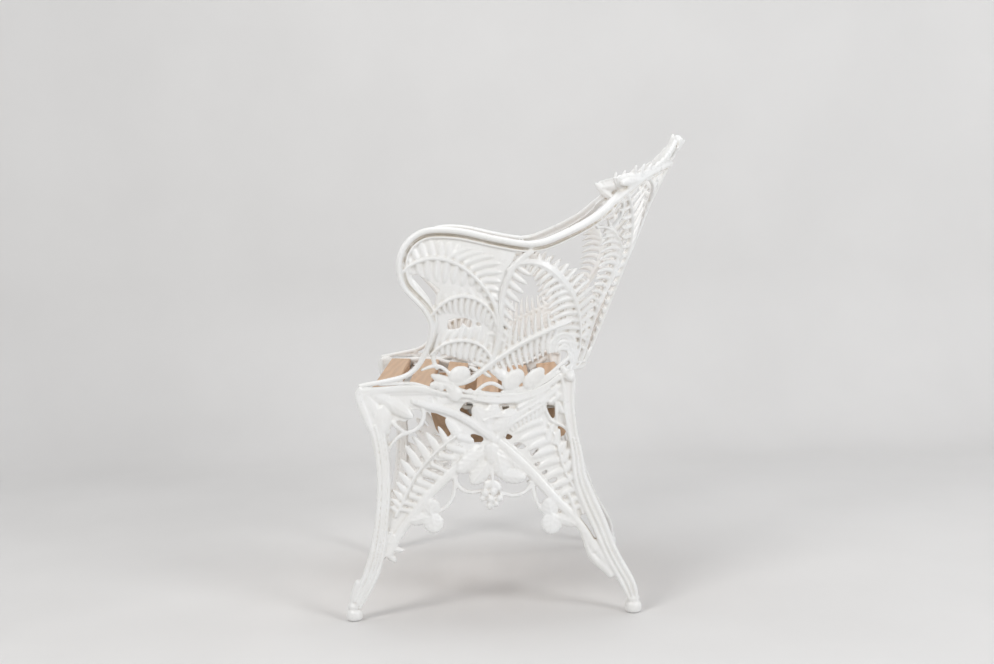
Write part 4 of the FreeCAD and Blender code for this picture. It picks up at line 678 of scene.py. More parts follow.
def leg_frame_stock():
    st = Stock()
    sm = SIDE
    # front leg: a core with four reeds on each face
    strand(st, FRONT_OUT, FRONT_IN, 0.50, 0.44, rn=8.0, h=0.0, m=16)
    for s in (1, -1):
        strand(st, FRONT_OUT, FRONT_IN, 0.17, 0.170, rn=4.8, h=5.8 * s)
        strand(st, FRONT_OUT, FRONT_IN, 0.45, 0.085, rn=3.6, h=7.6 * s, lo=0.17)
        strand(st, FRONT_OUT, FRONT_IN, 0.66, 0.085, rn=3.6, h=6.8 * s, lo=0.17)
        strand(st, FRONT_OUT, FRONT_IN, 0.88, 0.120, rn=4.2, h=5.6 * s, lo=0.14)
    # rear leg: post, then a broad fluted leg with a slit between it and the inner stem
    strand(st, REAR_OUT, REAR_IN, 0.50, 0.44, rn=8.0, h=0.0, m=16)
    for s in (1, -1):
        strand(st, REAR_OUT, REAR_IN, 0.18, 0.17, rn=4.6, h=5.8 * s, lo=0.05)
        strand(st, REAR_OUT, REAR_IN, 0.52, 0.10, rn=3.8, h=7.0 * s, lo=0.30)
        strand(st, REAR_OUT, REAR_IN, 0.84, 0.15, rn=4.2, h=5.6 * s, lo=0.05)
    tube(st, yz(REAR_WEB), [4.0, 5.0, 5.0, 5.0, 5.5, 7.0, 8.5, 7.0], 7.0, sm, 0.5)
    tube(st, yz([(113.0, 128.0), (122.0, 110.0), (136.0, 92.0), (150.0, 70.0)]), [6.0, 10.0, 11.0, 8.0], 7.5, sm, 0.0)
    # leaf knee on the rear leg
    leaflets(st, sm, S([(590, 553), (594, 558)]), np.array([[0, 0.75, -1.0], [0, 0.55, -1.0]]), [29.0, 22.0], [8.5, 6.0], K=[0.35, 0.55], T=8.0, back=8.0, ridge=1.0, root=0.7, tip=3.5)
    # feet
    for (fy, zt) in ((-309.5, 30.0), (179.5, 30.0)):
        turned(st, (245.0, fy, 0.0), [(10.6, 0.0), (13.0, 1.8), (14.5, 5.8), (14.6, 11.4), (13.2, 16.6), (10.6, 19.6), (10.2, 21.0), (11.6, 23.2), (11.4, 26.0), (9.6, 29.0), (8.0, 33.0)])
    tube(st, yz([(-309.5, 19.0), (-308.0, 32.0), (-302.5, 48.0), (-296.0, 64.0)]), [8.6, 10.4, 12.0, 12.0], 8.0, sm, 0.0)
    tube(st, yz([(179.5, 19.0), (177.5, 32.0), (172.0, 50.0), (165.0, 64.0)]), [8.6, 10.8, 12.4, 12.4], 8.0, sm, 0.0)
    # the pierced sheet behind the ornament
    sheet(st, sm, LEG_SHEET, LEG_HOLES, 0.3, 3.6)
    # top rail: web, top bead, lower bead
    sheet(st, sm, RAIL_SHEET, O_RAIL, 0.0, 7.4)
    for s in (1, -1):
        strand(st, RAIL_TOP, RAIL_BOT, 0.14, 0.15, rn=4.4, h=4.4 * s)
        strand(st, RAIL_TOP, RAIL_BOT, 0.36, 0.075, rn=2.4, h=3.4 * s, lo=0.04, hi=0.40)
    tube(st, S([(474, 399.4), (492, 401.4), (509, 400.8), (524, 398.2), (538, 393.8), (549, 388.0)]), [2.6, 4.4, 4.8, 4.2, 3.2], 4.0, sm, 5.0)
    tube(st, S([(474, 394.0), (492, 395.0), (509, 395.0), (524, 393.4), (537, 389.4), (549, 383.0), (560, 374.0)]), [2.8, 3.2, 3.2, 3.2, 3.0], 3.4, sm, 5.4)
    # rim of the front corner and the recessed panel below it
    tube(st, S([(360.0, 389.6), (357.8, 394.5), (359.2, 403.5), (362.6, 412.5), (366.6, 421.5), (370.6, 430.5), (373.6, 441.0), (376.0, 455.0)]), [5.4, 5.2, 5.0, 4.6, 4.2, 3.6], [8.0, 7.5, 7.0, 6.0, 5.0], sm, 2.5)
    tube(st, S([(361.0, 391.5), (372.0, 389.6), (386.0, 388.4), (402.0, 387.2), (418.0, 387.4), (430.0, 389.4), (440.0, 392.6)]), [4.4, 3.8, 3.6, 3.6, 3.4, 3.0], 5.2, sm, 4.2)
    tube(st, S([(366, 393), (384, 391.8), (402, 390.6), (420, 391.0), (432, 393)]), [1.6, 1.8, 1.6], 2.4, sm, 5.4)
    tube(st, S([(376, 432.0), (382, 430.5), (388, 431.5)]), [6.0, 8.0, 7.0], 5.0, sm, 1.0)
    # corner leaves
    blade(st, sm, *S([(367, 393), (395, 405)]), width=25, K=-0.30, crown=4.6, h=2.0, lift=1.6, veins=3, vein=0.5, serr=2, bite=0.05, fat=0.8, point=0.55)
    blade(st, sm, *S([(381, 399), (414, 418)]), width=27, K=-0.20, crown=5.4, h=2.4, lift=2.6, veins=4, vein=0.6, serr=3, bite=0.04, fat=0.85, point=0.55)
    blade(st, sm, *S([(371, 399), (376, 419)]), width=22, K=-0.1, crown=4.4, h=3.0, lift=2.0, veins=3, vein=0.5, serr=2, bite=0.05, fat=0.85, point=0.5)
    blade(st, sm, *S([(384, 405), (383, 434)]), width=35, K=0.45, crown=6.2, h=2.4, lift=3.0, veins=3, vein=0.6, serr=3, bite=0.05, fat=0.9, point=0.5)
    tube(st, S([(363, 394.5), (369, 398), (374, 404), (378, 411)]), [2.6, 2.6, 2.2], 2.4, sm, 6.2)
    # stems that cross in the middle
    ra = np.array([5.8, 6.8, 7.6, 8.4, 9.4, 9.8, 9.4, 9.0, 8.6, 7.8])
    for s in (1, -1):
        tube(st, yz(STEM_A), ra, 5.4, sm, 3.0 * s, m=16)
        tube(st, yz(STEM_A[1:-1]), [1.6, 1.8, 2.0, 2.0, 1.8, 1.6], 2.0, sm, 6.9 * s, shift=0.6)
    rb = np.array([5.6, 6.2, 7.0, 8.0, 9.2, 9.8, 8.8, 8.6, 8.6, 8.4, 7.4])
    tube(st, yz(STEM_B), rb, 5.0, sm, 2.2, m=16)
    tube(st, yz(STEM_B), rb * 0.85, 4.6, sm, -2.4, m=16)
    tube(st, yz(STEM_B[2:-1]), [1.6, 1.8, 2.0, 2.0, 1.8, 1.6], 2.0, sm, 5.9)
    ball(st, S([(495, 439)])[0] + np.array([5.0, 0, 0]), 9.0, (0.7, 1.0, 1.0))
    # sheath leaves where the stems part
    leaflets(st, sm, S([(487, 447), (505, 449)]), np.array([[0, -1, -0.75], [0, 1, -0.85]]), [62.0, 66.0], [12.0, 11.5], K=[0.18, -0.22], T=8.0, back=5.0, ridge=1.8, lift=-1.5, tip=3.0)
    leaflets(st, sm, S([(484, 445)]), np.array([[0, -1, -0.45]]), [46.0], [8.5], K=[0.45], T=6.6, back=4.0, ridge=1.4)
    # fern on the front side
    spine = S([(395.4, 516), (401.6, 505), (406.6, 492.5), (413, 480), (421.6, 467.5), (431.6, 456.2), (444, 445), (456, 436)])
    tube(st, spine, [3.0, 2.6, 2.4, 2.2, 2.0], 3.4, sm, 3.4)
    up = [((459, 436), (445.0, 418.6), 12.5), ((447.5, 444.5), (437.4, 425.2), 8.0), ((438.5, 452), (425.6, 431.2), 10.4), ((430.0, 462), (413.0, 435.0), 10.4), ((420.5, 468.5), (404.2, 443.8), 10.2), ((414, 477.5), (400.2, 458.6), 10.2), ((410, 486.0), (397.8, 470.6), 8.8), ((406.5, 493.0), (395.2, 481.2), 8.2), ((403, 500.5), (391.8, 488.8), 7.8), ((400, 506.5), (389.2, 497.0), 7.4), ((397.5, 512), (388.0, 504.6), 6.6)]
    comb(st, sm, up, 0.16, T=4.6, back=3.0, ridge=0.5, h=1.0, lift=1.6, root=0.86, tip=2.6, full=0.34, edge=0.22)
    dn = [((456, 436.5), (475, 441.8), 8.4), ((444.8, 446.0), (467.5, 453.0), 8.8), ((437, 454.8), (456.5, 459.4), 8.0), ((428.8, 463.4), (452.0, 474.6), 6.0), ((420.6, 471.4), (446.0, 481.0), 9.0), ((414.8, 480.4), (436.4, 488.6), 8.6), ((411.2, 488.2), (430.0, 494.8), 7.8), ((407.8, 495.6), (424.8, 501.0), 7.0), ((403.2, 502.2), (419.0, 507.0), 6.4), ((398.4, 508.8), (414.6, 512.6), 6.0)]
    comb(st, sm, dn, -0.16, T=5.0, back=2.8, ridge=0.4, h=1.2, lift=0.6, root=0.94, tip=7.0, full=0.14, edge=0.10)
    # fern on the rear side
    tube(st, S([(583, 513), (581, 506), (577.5, 494.5), (572.5, 484.5), (566, 473), (562, 462), (559, 449.5), (555.5, 437), (549, 424.5)]), [3.0, 2.8, 2.4, 2.2, 1.8, 1.6], 3.2, sm, 3.4)
    lf = [((544, 420.5), (513.4, 433.6), 7.4), ((548.5, 429.6), (517.0, 442.2), 8.4), ((553, 438.8), (526.6, 450.4), 8.8), ((557.5, 448.6), (530.4, 458.6), 9.2), ((560.6, 459.2), (536.4, 468.6), 9.2), ((564.4, 469.8), (544.0, 480.2), 9.2), ((569.6, 480.0), (551.4, 488.8), 8.6), ((574.6, 489.0), (559.0, 496.6), 8.0), ((578.2, 497.8), (564.6, 504.4), 7.4), ((580.4, 505.4), (569.6, 511.2), 6.6)]
    comb(st, sm, lf, 0.44, T=5.0, back=2.8, ridge=0.4, h=1.2, lift=0.8, root=0.94, tip=4.2, full=0.16, edge=0.10)
    rt = [((547.5, 441), (553.4, 423.8), 7.6), ((555.5, 446), (559.6, 427.6), 8.4), ((560, 453), (566.4, 440.2), 9.0), ((562.5, 462.5), (570.4, 448.6), 9.0), ((565.4, 471.4), (573.8, 458.8), 8.6), ((570, 480), (577.0, 468.6), 8.0), ((575, 488.6), (580.8, 477.6), 7.4), ((578.8, 497.6), (583.8, 487.6), 6.8), ((581.6, 505.4), (585.6, 497.0), 6.0)]
    comb(st, sm, rt, -0.25, T=4.6, back=2.6, ridge=0.5, h=2.0, lift=1.6, root=0.9, tip=3.2, full=0.2, edge=0.15)
    # upper group between rail and crossing
    blade(st, sm, *S([(474, 405), (495, 440)]), width=33, K=-0.10, crown=4.4, h=1.4, lift=2.0, veins=5, vein=0.8, serr=4, bite=0.04, fat=0.8, point=0.55)
    blade(st, sm, *S([(499, 405), (485, 425)]), width=31, K=0.30, crown=5.0, h=2.6, lift=1.5, veins=4, vein=0.8, serr=4, bite=0.05, fat=0.85, point=0.55)
    blade(st, sm, *S([(516, 409), (493, 431)]), width=34, K=-0.25, crown=5.2, h=2.8, lift=1.5, veins=5, vein=0.8, serr=4, bite=0.05, fat=0.85, point=0.55)
    tube(st, S([(484, 420.6), (490, 417.5), (499, 416), (511, 415.6)]), [1.6, 2.2, 1.8], 2.2, sm, 8.4)
    # toothed frond band that climbs to the rear post
    band = S([(499, 433.5), (507, 427), (517, 420.5), (528, 414), (538, 407.5), (548, 399.5)])
    tube(st, band, [2.2, 2.8, 3.0, 2.6], 3.4, sm, 4.4)
    row(st, sm, band, S([(506, 437.5), (514, 431.5), (524, 426), (534, 420.5), (543, 414)]), 11, 0.06, 0.92, K=-0.35, W=4.4, T=4.6, back=2.6, ridge=0.4, h=1.6, root=0.9, tip=4.0, full=0.2, edge=0.1)
    row(st, sm, band, S([(503, 421), (512, 414.5), (522, 408), (531, 402), (540, 396)]), 10, 0.12, 0.95, K=0.35, W=4.6, T=4.6, back=2.6, ridge=0.4, h=2.0, root=0.9, tip=4.0, full=0.2, edge=0.1)
    comb(st, sm, [((514, 410), (553, 388), 7.5), ((526, 410), (560, 386), 7.5), ((538, 405), (565, 381), 7.0), ((548, 404), (568, 388), 6.6), ((512, 403), (545, 391), 6.0)], 0.10, T=6.0, back=3.0, ridge=1.0, h=2.4, lift=1.2, root=0.6, tip=3.0, full=0.4)
    tube(st, S([(543.6, 402), (546.4, 411), (552, 420.4), (560, 424.4), (567, 429.6), (570, 440)]), [2.8, 3.2, 3.4, 3.4], 4.4, sm, 1.6)
    tube(st, S([(556.4, 402), (556.6, 412), (556.8, 421)]), [3.0, 3.2, 3.0], 4.4, sm, 1.6)
    # knuckle leaves on the rail
    blade(st, sm, *S([(454, 385.6), (456.5, 401.5)]), width=27, K=0.1, crown=5.2, h=5.0, lift=1.0, veins=3, vein=0.8, serr=2, bite=0.03, fat=0.9, point=0.5)
    blade(st, sm, *S([(441, 381.5), (441.5, 391.0)]), width=17, K=0.0, crown=4.2, h=5.6, lift=1.0, veins=3, vein=0.6, serr=2, bite=0.03, fat=0.8, point=0.6)
    # lower middle leaves and fruit
    blade(st, sm, *S([(486, 452), (456.5, 472)]), width=36, K=0.12, crown=6.4, h=3.0, lift=2.4, veins=5, vein=1.2, serr=5, bite=0.09, fat=0.9, point=0.5)
    blade(st, sm, *S([(489, 460), (470.5, 484)]), width=35, K=-0.20, crown=6.0, h=4.2, lift=2.6, veins=5, vein=1.3, serr=6, bite=0.11, fat=0.9, point=0.5)
    blade(st, sm, *S([(492, 442), (491, 464)]), width=31, K=0.0, crown=6.2, h=5.4, lift=0.8, veins=3, vein=1.1, serr=5, bite=0.08, fat=0.8, point=0.5)
    blade(st, sm, *S([(496, 447), (505, 479)]), width=36, K=0.20, crown=6.0, h=3.6, lift=2.4, veins=5, vein=1.3, serr=6, bite=0.10, fat=0.9, point=0.5)
    blade(st, sm, *S([(499, 473), (527, 477)]), width=29, K=0.30, crown=5.6, h=4.0, lift=2.6, veins=5, vein=1.3, serr=6, bite=0.11, fat=0.85, point=0.5)
    blade(st, sm, *S([(498, 449), (524, 471)]), width=27, K=0.12, crown=4.4, h=1.2, lift=1.0, veins=5, vein=1.1, serr=6, bite=0.10, fat=0.8, point=0.6)
    tube(st, S([(491, 464), (492.5, 476), (493, 486), (492, 494)]), [3.0, 3.4, 3.2, 2.6], 3.2, sm, 6.6)
    blade(st, sm, *S([(492, 480), (484, 489)]), width=15, K=0.0, crown=4.0, h=4.0, lift=1.0, veins=3, vein=0.5, serr=2, bite=0.04, fat=0.85, point=0.5)
    blade(st, sm, *S([(493, 480), (501, 490)]), width=15, K=0.0, crown=4.0, h=4.0, lift=1.0, veins=3, vein=0.5, serr=2, bite=0.04, fat=0.85, point=0.5)
    for (u, v), r in zip([(485.4, 492.6), (493.4, 491.4), (499.6, 497.6), (482.8, 497.6), (491.2, 498.8), (490.0, 505.2), (496.4, 503.2)], (7.6, 7.6, 7.2, 6.6, 8.0, 7.6, 5.8)):
        berry(st, S([(u, v)])[0] + np.array([3.0 + r * 0.35, 0, 0]), r)
    # tendrils
    for pts, r in (
        ([(454, 470), (455.5, 478), (458.6, 486), (465, 491), (474, 492.3), (484, 490)], (3.2, 3.8, 3.9, 3.7, 3.2)),
        ([(497, 489.5), (503, 493.0), (512, 495.4), (521, 494.0), (528.5, 488.6), (532, 481), (530.5, 470)], (3.4, 3.9, 4.0, 3.9, 3.4)),
        ([(454.5, 470), (455.0, 484), (453.0, 497), (447.6, 505.6), (440, 511.2), (434, 513)], (3.6, 4.0, 4.0, 3.6, 3.2)),
        ([(532.0, 472), (533.2, 488), (536.2, 500), (542.5, 511), (549, 517)], (3.6, 4.0, 4.0, 3.6, 3.2)),
        ([(387.5, 452), (394, 441.4), (402.5, 434.8), (411, 432.0), (418, 427.8), (422.8, 420.6), (423.4, 411), (421.4, 405)], (2.6, 3.4, 4.0, 4.0, 4.2, 3.8)),
        ([(388, 418), (393, 423), (398.5, 428.0), (406, 433.0)], (3.4, 4.2, 4.2, 3.4)),
    ):
        tube(st, S(pts), np.array(r), 3.8, sm, 1.5)
    for u, v in ((453.5, 478), (532.4, 482)):
        leaflets(st, sm, S([(u, v)] * 3), np.array([[0, -1, 0.1], [0, 0.6, -1.0], [0, 0.9, 0.5]]), [11.0, 11.0, 10.0], [4.4, 4.2, 4.0], T=4.4, back=2.8, h=1.0)
    # hanging leaves
    for near, pts, w, K in (
        (2.2, [(430.5, 517), (432.5, 498.0)], 33, 0.0), (3.8, [(432, 512.5), (436, 532.6)], 37, 0.15), (1.0, [(434, 514.5), (407.0, 521.5)], 24, -0.15),
        (2.2, [(551.5, 517), (547.5, 497.4)], 32, 0.1), (3.8, [(552.5, 512), (549.5, 533.4)], 37, -0.15), (1.0, [(552, 515.5), (579.0, 524.5)], 23, -0.1),
    ):
        blade(st, sm, *S(pts), width=w * 1.04, K=K, crown=5.2, h=near, lift=2.0, veins=4, vein=1.2, serr=5, bite=0.09, fat=0.95, point=0.48)
    tube(st, S([(430, 503), (431, 514)]), 1.6, 2.0, sm, 8.4)
    # knob leaf on the front leg, foot of the front stem
    leaflets(st, sm, S([(389, 541), (388, 547), (387, 553)]), np.array([[0, 0.75, -0.9], [0, 1.0, -0.55], [0, 0.9, -0.8]]), [22.0, 31.0, 24.0], [7.6, 6.8, 7.4], K=[0.2, 0.5, -0.3], T=6.4, back=5.0, ridge=1.0, tip=3.5)
    leaflets(st, sm, S([(396, 533), (391, 529)]), np.array([[0, -0.5, -1.0], [0, -0.3, -1.0]]), [48.0, 56.0], [9.0, 7.0], K=[-0.1, 0.1], T=6.6, back=5.0, ridge=1.2)
    # notched sheath at the top of the rear post
    comb(st, sm, [((557, 399), (555, 379), 8.0), ((562, 403), (561, 378), 9.0), ((568, 406), (570, 383), 9.0), ((564, 414), (557, 400), 8.0), ((570, 419), (566, 402), 8.0), ((572, 432), (570, 415), 7.0), ((566, 392), (574, 374), 8.0)], 0.15, T=7.0, back=5.0, ridge=0.8, h=1.0, root=0.7, tip=3.2)
    return st


# ------------------------------------------------------------------ arm casting
def N(points):
    return SHELL.seen(points)


RIM_FRONT = [(245.0, -283.8, 413.0), (245.0, -265.9, 416.0), (245.2, -248.4, 418.6), (245.3, -231.0, 421.8), (245.5, -215.2, 425.2), (246.1, -197.6, 432.7), (247.7, -183.2, 445.5), (250.4, -172.2, 462.0), (254.5, -163.5, 481.2), (259.4, -157.5, 500.5), (263.7, -155.9, 516.4), (268.2, -160.3, 532.3), (272.1, -168.2, 546.6), (275.8, -179.4, 560.0), (278.9, -190.7, 572.5), (282.0, -200.2, 585.7), (285.2, -205.4, 601.3), (287.6, -206.4, 616.7), (289.3, -204.9, 631.9), (289.9, -200.1, 645.2), (290.0, -191.2, 658.4), (290.0, -179.9, 668.2), (290.0, -164.5, 675.6), (290.0, -140.9, 678.2), (290.0, -115.7, 676.6), (290.0, -95.6, 673.5), (290.0, -68.9, 666.8), (290.0, -43.8, 660.4), (290.0, -22.0, 655.5), (289.6, -1.9, 651.4), (288.7, 12.4, 649.7)]
RIM_REAR = [(288.7, 11.6, 649.7), (286.0, 33.6, 651.5), (281.8, 52.5, 657.1), (274.3, 75.1, 665.7), (263.7, 98.1, 675.3), (250.7, 119.7, 685.5), (237.3, 138.1, 696.0), (219.5, 158.8, 711.4), (203.8, 179.8, 728.9), (188.1, 200.7, 745.7), (168.4, 222.1, 761.4), (138.3, 244.6, 773.4), (100.7, 262.0, 782.2), (52.0, 274.0, 787.6), (0.0, 278.0, 789.6), (-30.0, 276.8, 788.8)]


def fern(st, spine, side, n, s0, s1, tips, t0, t1, K, w, T=3.4, back=2.4, ridge=0.6, h=1.0, lift=0.6, **kw):
    """Leaflets in a row from a stem to a traced edge; w is their pitch-filling half width in mm."""
    S_, E_ = cubic(spine, 2.0), cubic(tips, 2.0)
    f = np.linspace(0, 1, n)
    B, E = walk(S_, s0 + (s1 - s0) * f), walk(E_, t0 + (t1 - t0) * f)
    K = spread(K, n)
    D, L = between(SHELL, B, E, K)
    leaflets(st, SHELL, B, D, L, spread(w, n), K=K, T=T, back=back, ridge=ridge, h=h, lift=lift, **kw)


def rim_bars(st, line, inner=True):
    tube(st, line, 5.4, [7.0, 8.2, 8.2, 8.2], SHELL, 3.0, m=18)
    if inner:
        tube(st, line, 2.3, 3.0, SHELL, 3.2, shift=-9.0)
        tube(st, line, 1.6, 2.4, SHELL, -3.4, shift=-8.0)
        tube(st, line, 4.0, 2.0, SHELL, 0.0, shift=-4.5)


def arm_stock():
    st = Stock()
    sh = SHELL
    rim = np.array(RIM_FRONT)
    tube(st, rim, [4.2, 4.6, 5.4, 5.6, 5.6, 5.8, 6.0], [5.0, 6.0, 8.2, 8.2, 8.2, 8.6], sh, 3.0, m=18)
    tube(st, rim[11:], [1.2, 2.3, 2.3, 2.3], 3.0, sh, 3.0, shift=-11.8)
    tube(st, rim[10:], 6.0, 2.2, sh, -1.2, shift=-6.6)
    tube(st, rim[11:], [1.0, 1.6, 1.8], 2.6, sh, -3.8, shift=-10.6)
    sheet(st, sh, ARM_SHEET, ARM_HOLES, -0.1, 3.0)
    # front band
    tube(st, N([(434.5, 322), (432, 312), (428, 303.5), (420, 293), (411, 282.5), (406, 273.5), (405, 266)]), [3.0, 5.0, 6.6, 7.6, 8.0, 7.0, 3.0], 2.6, sh, 0.8, m=14)
    tube(st, N([(434, 331), (436.4, 319), (433.0, 309), (426, 299.5), (417, 288.5), (410, 278.0), (406, 269)]), [2.2, 2.2, 2.0, 1.8, 1.8, 1.8], 3.0, sh, 2.0)
    # long spine of the arm and its leaflets
    A = N([(402.5, 272), (408, 266.8), (416, 262.4), (426, 259.2), (436, 258.2), (448, 260.4), (460, 265.4), (470, 272.4), (480, 282), (488, 292), (494, 303), (497.4, 315), (498.4, 328), (497, 341), (494.4, 352), (490, 361.5), (483, 370), (473, 377.5)])
    tube(st, A, [3.0, 3.6, 3.8, 3.6, 3.6, 3.8, 3.8, 3.8, 4.2], [4.2, 4.6, 4.4], sh, 3.0)
    Aup = N([(402.5, 263), (403.5, 254), (407, 247), (413, 241.6), (421, 239.0), (432, 238.4), (444, 239.8), (457, 242.6), (470, 246.0), (483, 249.4), (494, 252.4), (505, 256.6)])
    fern(st, A, 1, 8, 0.02, 0.29, Aup, 0.02, 0.60, -0.34, [6.4, 7.4, 8.0, 8.2, 8.2], T=4.2, back=2.2, ridge=0.7, h=0.0, lift=1.0, tip=4.4, root=0.80, full=0.7, edge=0.08)
    comb(st, sh, [((446, 260), (472, 247.4), 8.4), ((454, 262), (484, 251.4), 9.0), ((462, 266), (494.5, 255.4), 9.4), ((468.6, 271), (501, 262.6), 9.6), ((474.4, 276), (502.4, 271.8), 9.4), ((479.4, 281.6), (501.4, 281.4), 9.0), ((484.4, 287.4), (500.0, 291.0), 8.4), ((488.6, 293.6), (499.6, 301.0), 7.6), ((492, 300.6), (499.4, 310.0), 6.6)], -0.62, T=4.6, back=2.2, ridge=0.8, h=0.4, lift=1.4, root=0.72, tip=2.6, full=0.55, edge=0.10)
    Adn = N([(411.0, 274.0), (419, 276.0), (427, 280.6), (435, 283.4), (440, 281.0), (446, 286), (455, 284), (463, 287), (471, 286), (478, 291.6), (484, 298)])
    fern(st, A, -1, 10, 0.04, 0.50, Adn, 0.0, 1.0, 0.35, [5.4, 7.0, 7.8, 7.8, 7.6, 6.8], T=4.6, back=2.0, ridge=0.8, h=0.5, tip=3.6, root=0.84, full=0.5, edge=0.05)
    # inner fan: a second row that reaches the middle spine
    B = N([(432.5, 313.5), (438, 307), (445, 301.4), (453, 297.6), (461, 295.8), (470, 296.6), (478.5, 299.8), (486.5, 305.4), (492.6, 313), (496.5, 324)])
    Bup = N([(440.5, 289.0), (443.5, 293.0), (449, 292.0), (456, 289), (464, 287.4), (473, 288.6), (481, 293), (488.4, 300.4)])
    tube(st, B, [2.8, 3.4, 3.6, 3.4, 3.0], 4.4, sh, 2.4)
    fern(st, B, 1, 8, 0.10, 0.93, Bup, 0.0, 1.0, -0.30, [5.6, 7.0, 7.2, 6.6, 5.6], T=3.6, back=2.0, ridge=0.4, h=-0.2, tip=3.6, root=0.86, full=0.4, edge=0.06)
    Bdn = N([(440.5, 314.6), (447, 313.4), (454, 314.6), (461, 316.6), (468, 318.6), (475, 320.0), (483, 323.5), (490, 330)])
    fern(st, B, -1, 11, 0.10, 0.92, Bdn, 0.0, 1.0, [0.3, 0.6, 0.9], [4.0, 5.0, 5.4, 5.6, 5.2], T=5.2, back=2.0, ridge=0.3, h=0.2, lift=0.8, tip=3.2, root=0.86, full=0.3, edge=0.0)
    # lowest frond
    C = N([(431, 353.5), (437, 348), (445, 343), (453, 340.6), (462, 339.6), (471, 340.6), (479, 343.6), (486, 349), (491, 356.5)])
    tube(st, C, [2.8, 3.4, 3.4, 3.2], 4.6, sh, 2.8)
    Cup = N([(439, 332.5), (446, 330.6), (453, 329.4), (460, 328.6), (464.6, 324.0), (470, 328.4), (476, 323.4), (482, 328), (488, 332), (492, 341)])
    fern(st, C, 1, 8, 0.08, 0.96, Cup, 0.0, 1.0, [-0.2, -0.2, 0.2], [5.8, 6.4, 6.4, 6.0], T=4.2, back=2.0, ridge=0.8, h=0.4, tip=2.8, root=0.9, full=0.3, edge=0.08)
    Cdn = N([(436.5, 353.8), (443, 355.4), (451, 357.4), (459, 359.8), (467, 361.6), (475, 363.0), (483, 363.4)])
    fern(st, C, -1, 9, 0.10, 0.92, Cdn, 0.0, 1.0, [0.5, 0.7, 0.9], [4.6, 5.6, 6.0, 5.8, 5.2], T=4.8, back=2.4, ridge=0.3, h=0.4, tip=4.0, root=0.9, full=0.25, edge=0.05)
    for line, r in ((A, 3.0), (B, 2.6), (C, 2.6)):
        tube(st, line[1:-1], r, 3.4, sh, -2.6)
    for spine, side, n, tips, K, w in ((A, 1, 9, Aup, -0.34, 6.6), (A, -1, 9, Adn, 0.35, 6.0), (B, -1, 9, Bdn, 0.6, 4.8), (C, -1, 8, Cdn, 0.7, 5.0)):
        fern(st, spine, side, n, 0.06, 0.46 if spine is A else 0.92, tips, 0.04, 0.96, K, w, T=2.4, back=4.6, ridge=0.2, h=-1.6, tip=3.4, root=0.84, full=0.5, edge=0.06)
    # rows that fill the corner between the spines
    fern(st, A, -1, 6, 0.55, 0.86, N([(480, 308), (482, 318), (484, 329), (485, 340), (483, 350)]), 0.0, 1.0, [0.4, 0.5, 0.6], [5.4, 5.8, 5.6, 5.2], T=3.8, ridge=0.3, h=-0.2, tip=3.4, root=0.86, full=0.3, edge=0.05)
    fern(st, A, -1, 4, 0.84, 0.96, N([(478, 353), (474, 358), (471, 362), (468, 366)]), 0.0, 1.0, [0.5], [5.0, 5.2, 5.2, 4.8], T=3.8, ridge=0.3, h=-0.2, tip=3.4, root=0.86, full=0.3, edge=0.05)
    # stems and leaves along the base
    tube(st, N([(473, 377.5), (463, 381.8), (452, 383.6), (442, 385.0), (432, 387.6)]), [5.8, 5.8, 5.0, 4.4, 3.4], 5.4, sh, 2.6)
    tube(st, [(245.0, -250.0, 414.5), (245.0, -236.0, 415.0), (245, -215, 415.6), (245.0, -190.0, 413.8), (245.0, -172.0, 408.5), (245, -160.0, 404.5)], [2.6, 3.2, 3.4, 3.4, 3.0, 2.6], 3.8, sh, 2.4)
    tube(st, N([(452, 387.4), (462, 390.0), (472, 392.0), (480, 391.6), (486, 392.6), (496, 393.4), (505, 393.6), (512, 393.0)]), [3.6, 3.4, 3.2, 3.0, 3.0], 3.8, sh, 2.6)
    tube(st, N([(422, 369.4), (430, 366.4), (438, 365.8), (444.5, 368.6), (450, 374.5)]), [2.4, 3.2, 3.4, 3.6, 3.4], 3.8, sh, 2.4)
    tube(st, N([(476, 391.4), (481, 387.0), (486.5, 383.8), (492.4, 383.0), (498, 385.2), (503, 387.6), (509, 387.2), (513, 384.6)]), [3.0, 3.4, 3.6, 3.4, 3.0], 3.8, sh, 2.4)
    tube(st, N([(433, 353), (434, 361), (437, 368)]), [4.6, 4.2, 3.4], 3.6, sh, 1.4)
    blade(st, sh, *N([(449, 379), (470.0, 369.0)]), width=31, K=0.10, crown=6.6, h=3.6, lift=1.0, veins=3, vein=0.5, serr=2, bite=0.03, fat=0.9, point=0.45)
    blade(st, sh, *N([(452, 381.5), (430.5, 373.8)]), width=17, K=-0.35, crown=5.0, h=3.4, lift=1.4, veins=3, vein=0.5, serr=3, bite=0.04, fat=0.8, point=0.55)
    blade(st, sh, *N([(451, 384.4), (429.6, 384.6)]), width=18, K=0.15, crown=5.2, h=3.8, lift=1.2, veins=3, vein=0.5, serr=2, bite=0.03, fat=0.85, point=0.5)
    blade(st, sh, *N([(447, 385), (460, 395)]), width=21, K=0.0, crown=5.4, h=4.4, lift=0.6, veins=3, vein=0.5, serr=2, bite=0.03, fat=0.85, point=0.5)
    ball(st, N([(452, 382.6)])[0] + np.array([4.6, 0, 0]), 5.0)
    # joint ears towards the back casting
    for (ya, xa, xb, za, zb) in ((-51.0, 246.0, 263.0, 499.0, 521.0), (6.0, 262.0, 287.0, 630.0, 649.0)):
        P = np.array([(xa + 3, ya + 2.6, (za + zb) / 2), (xb, ya + 2.6, (za + zb) / 2)])
        tube(st, P, (zb - za) / 2 - 1.0, 2.4, None, up=(0, 1, 0), m=16)
    return st


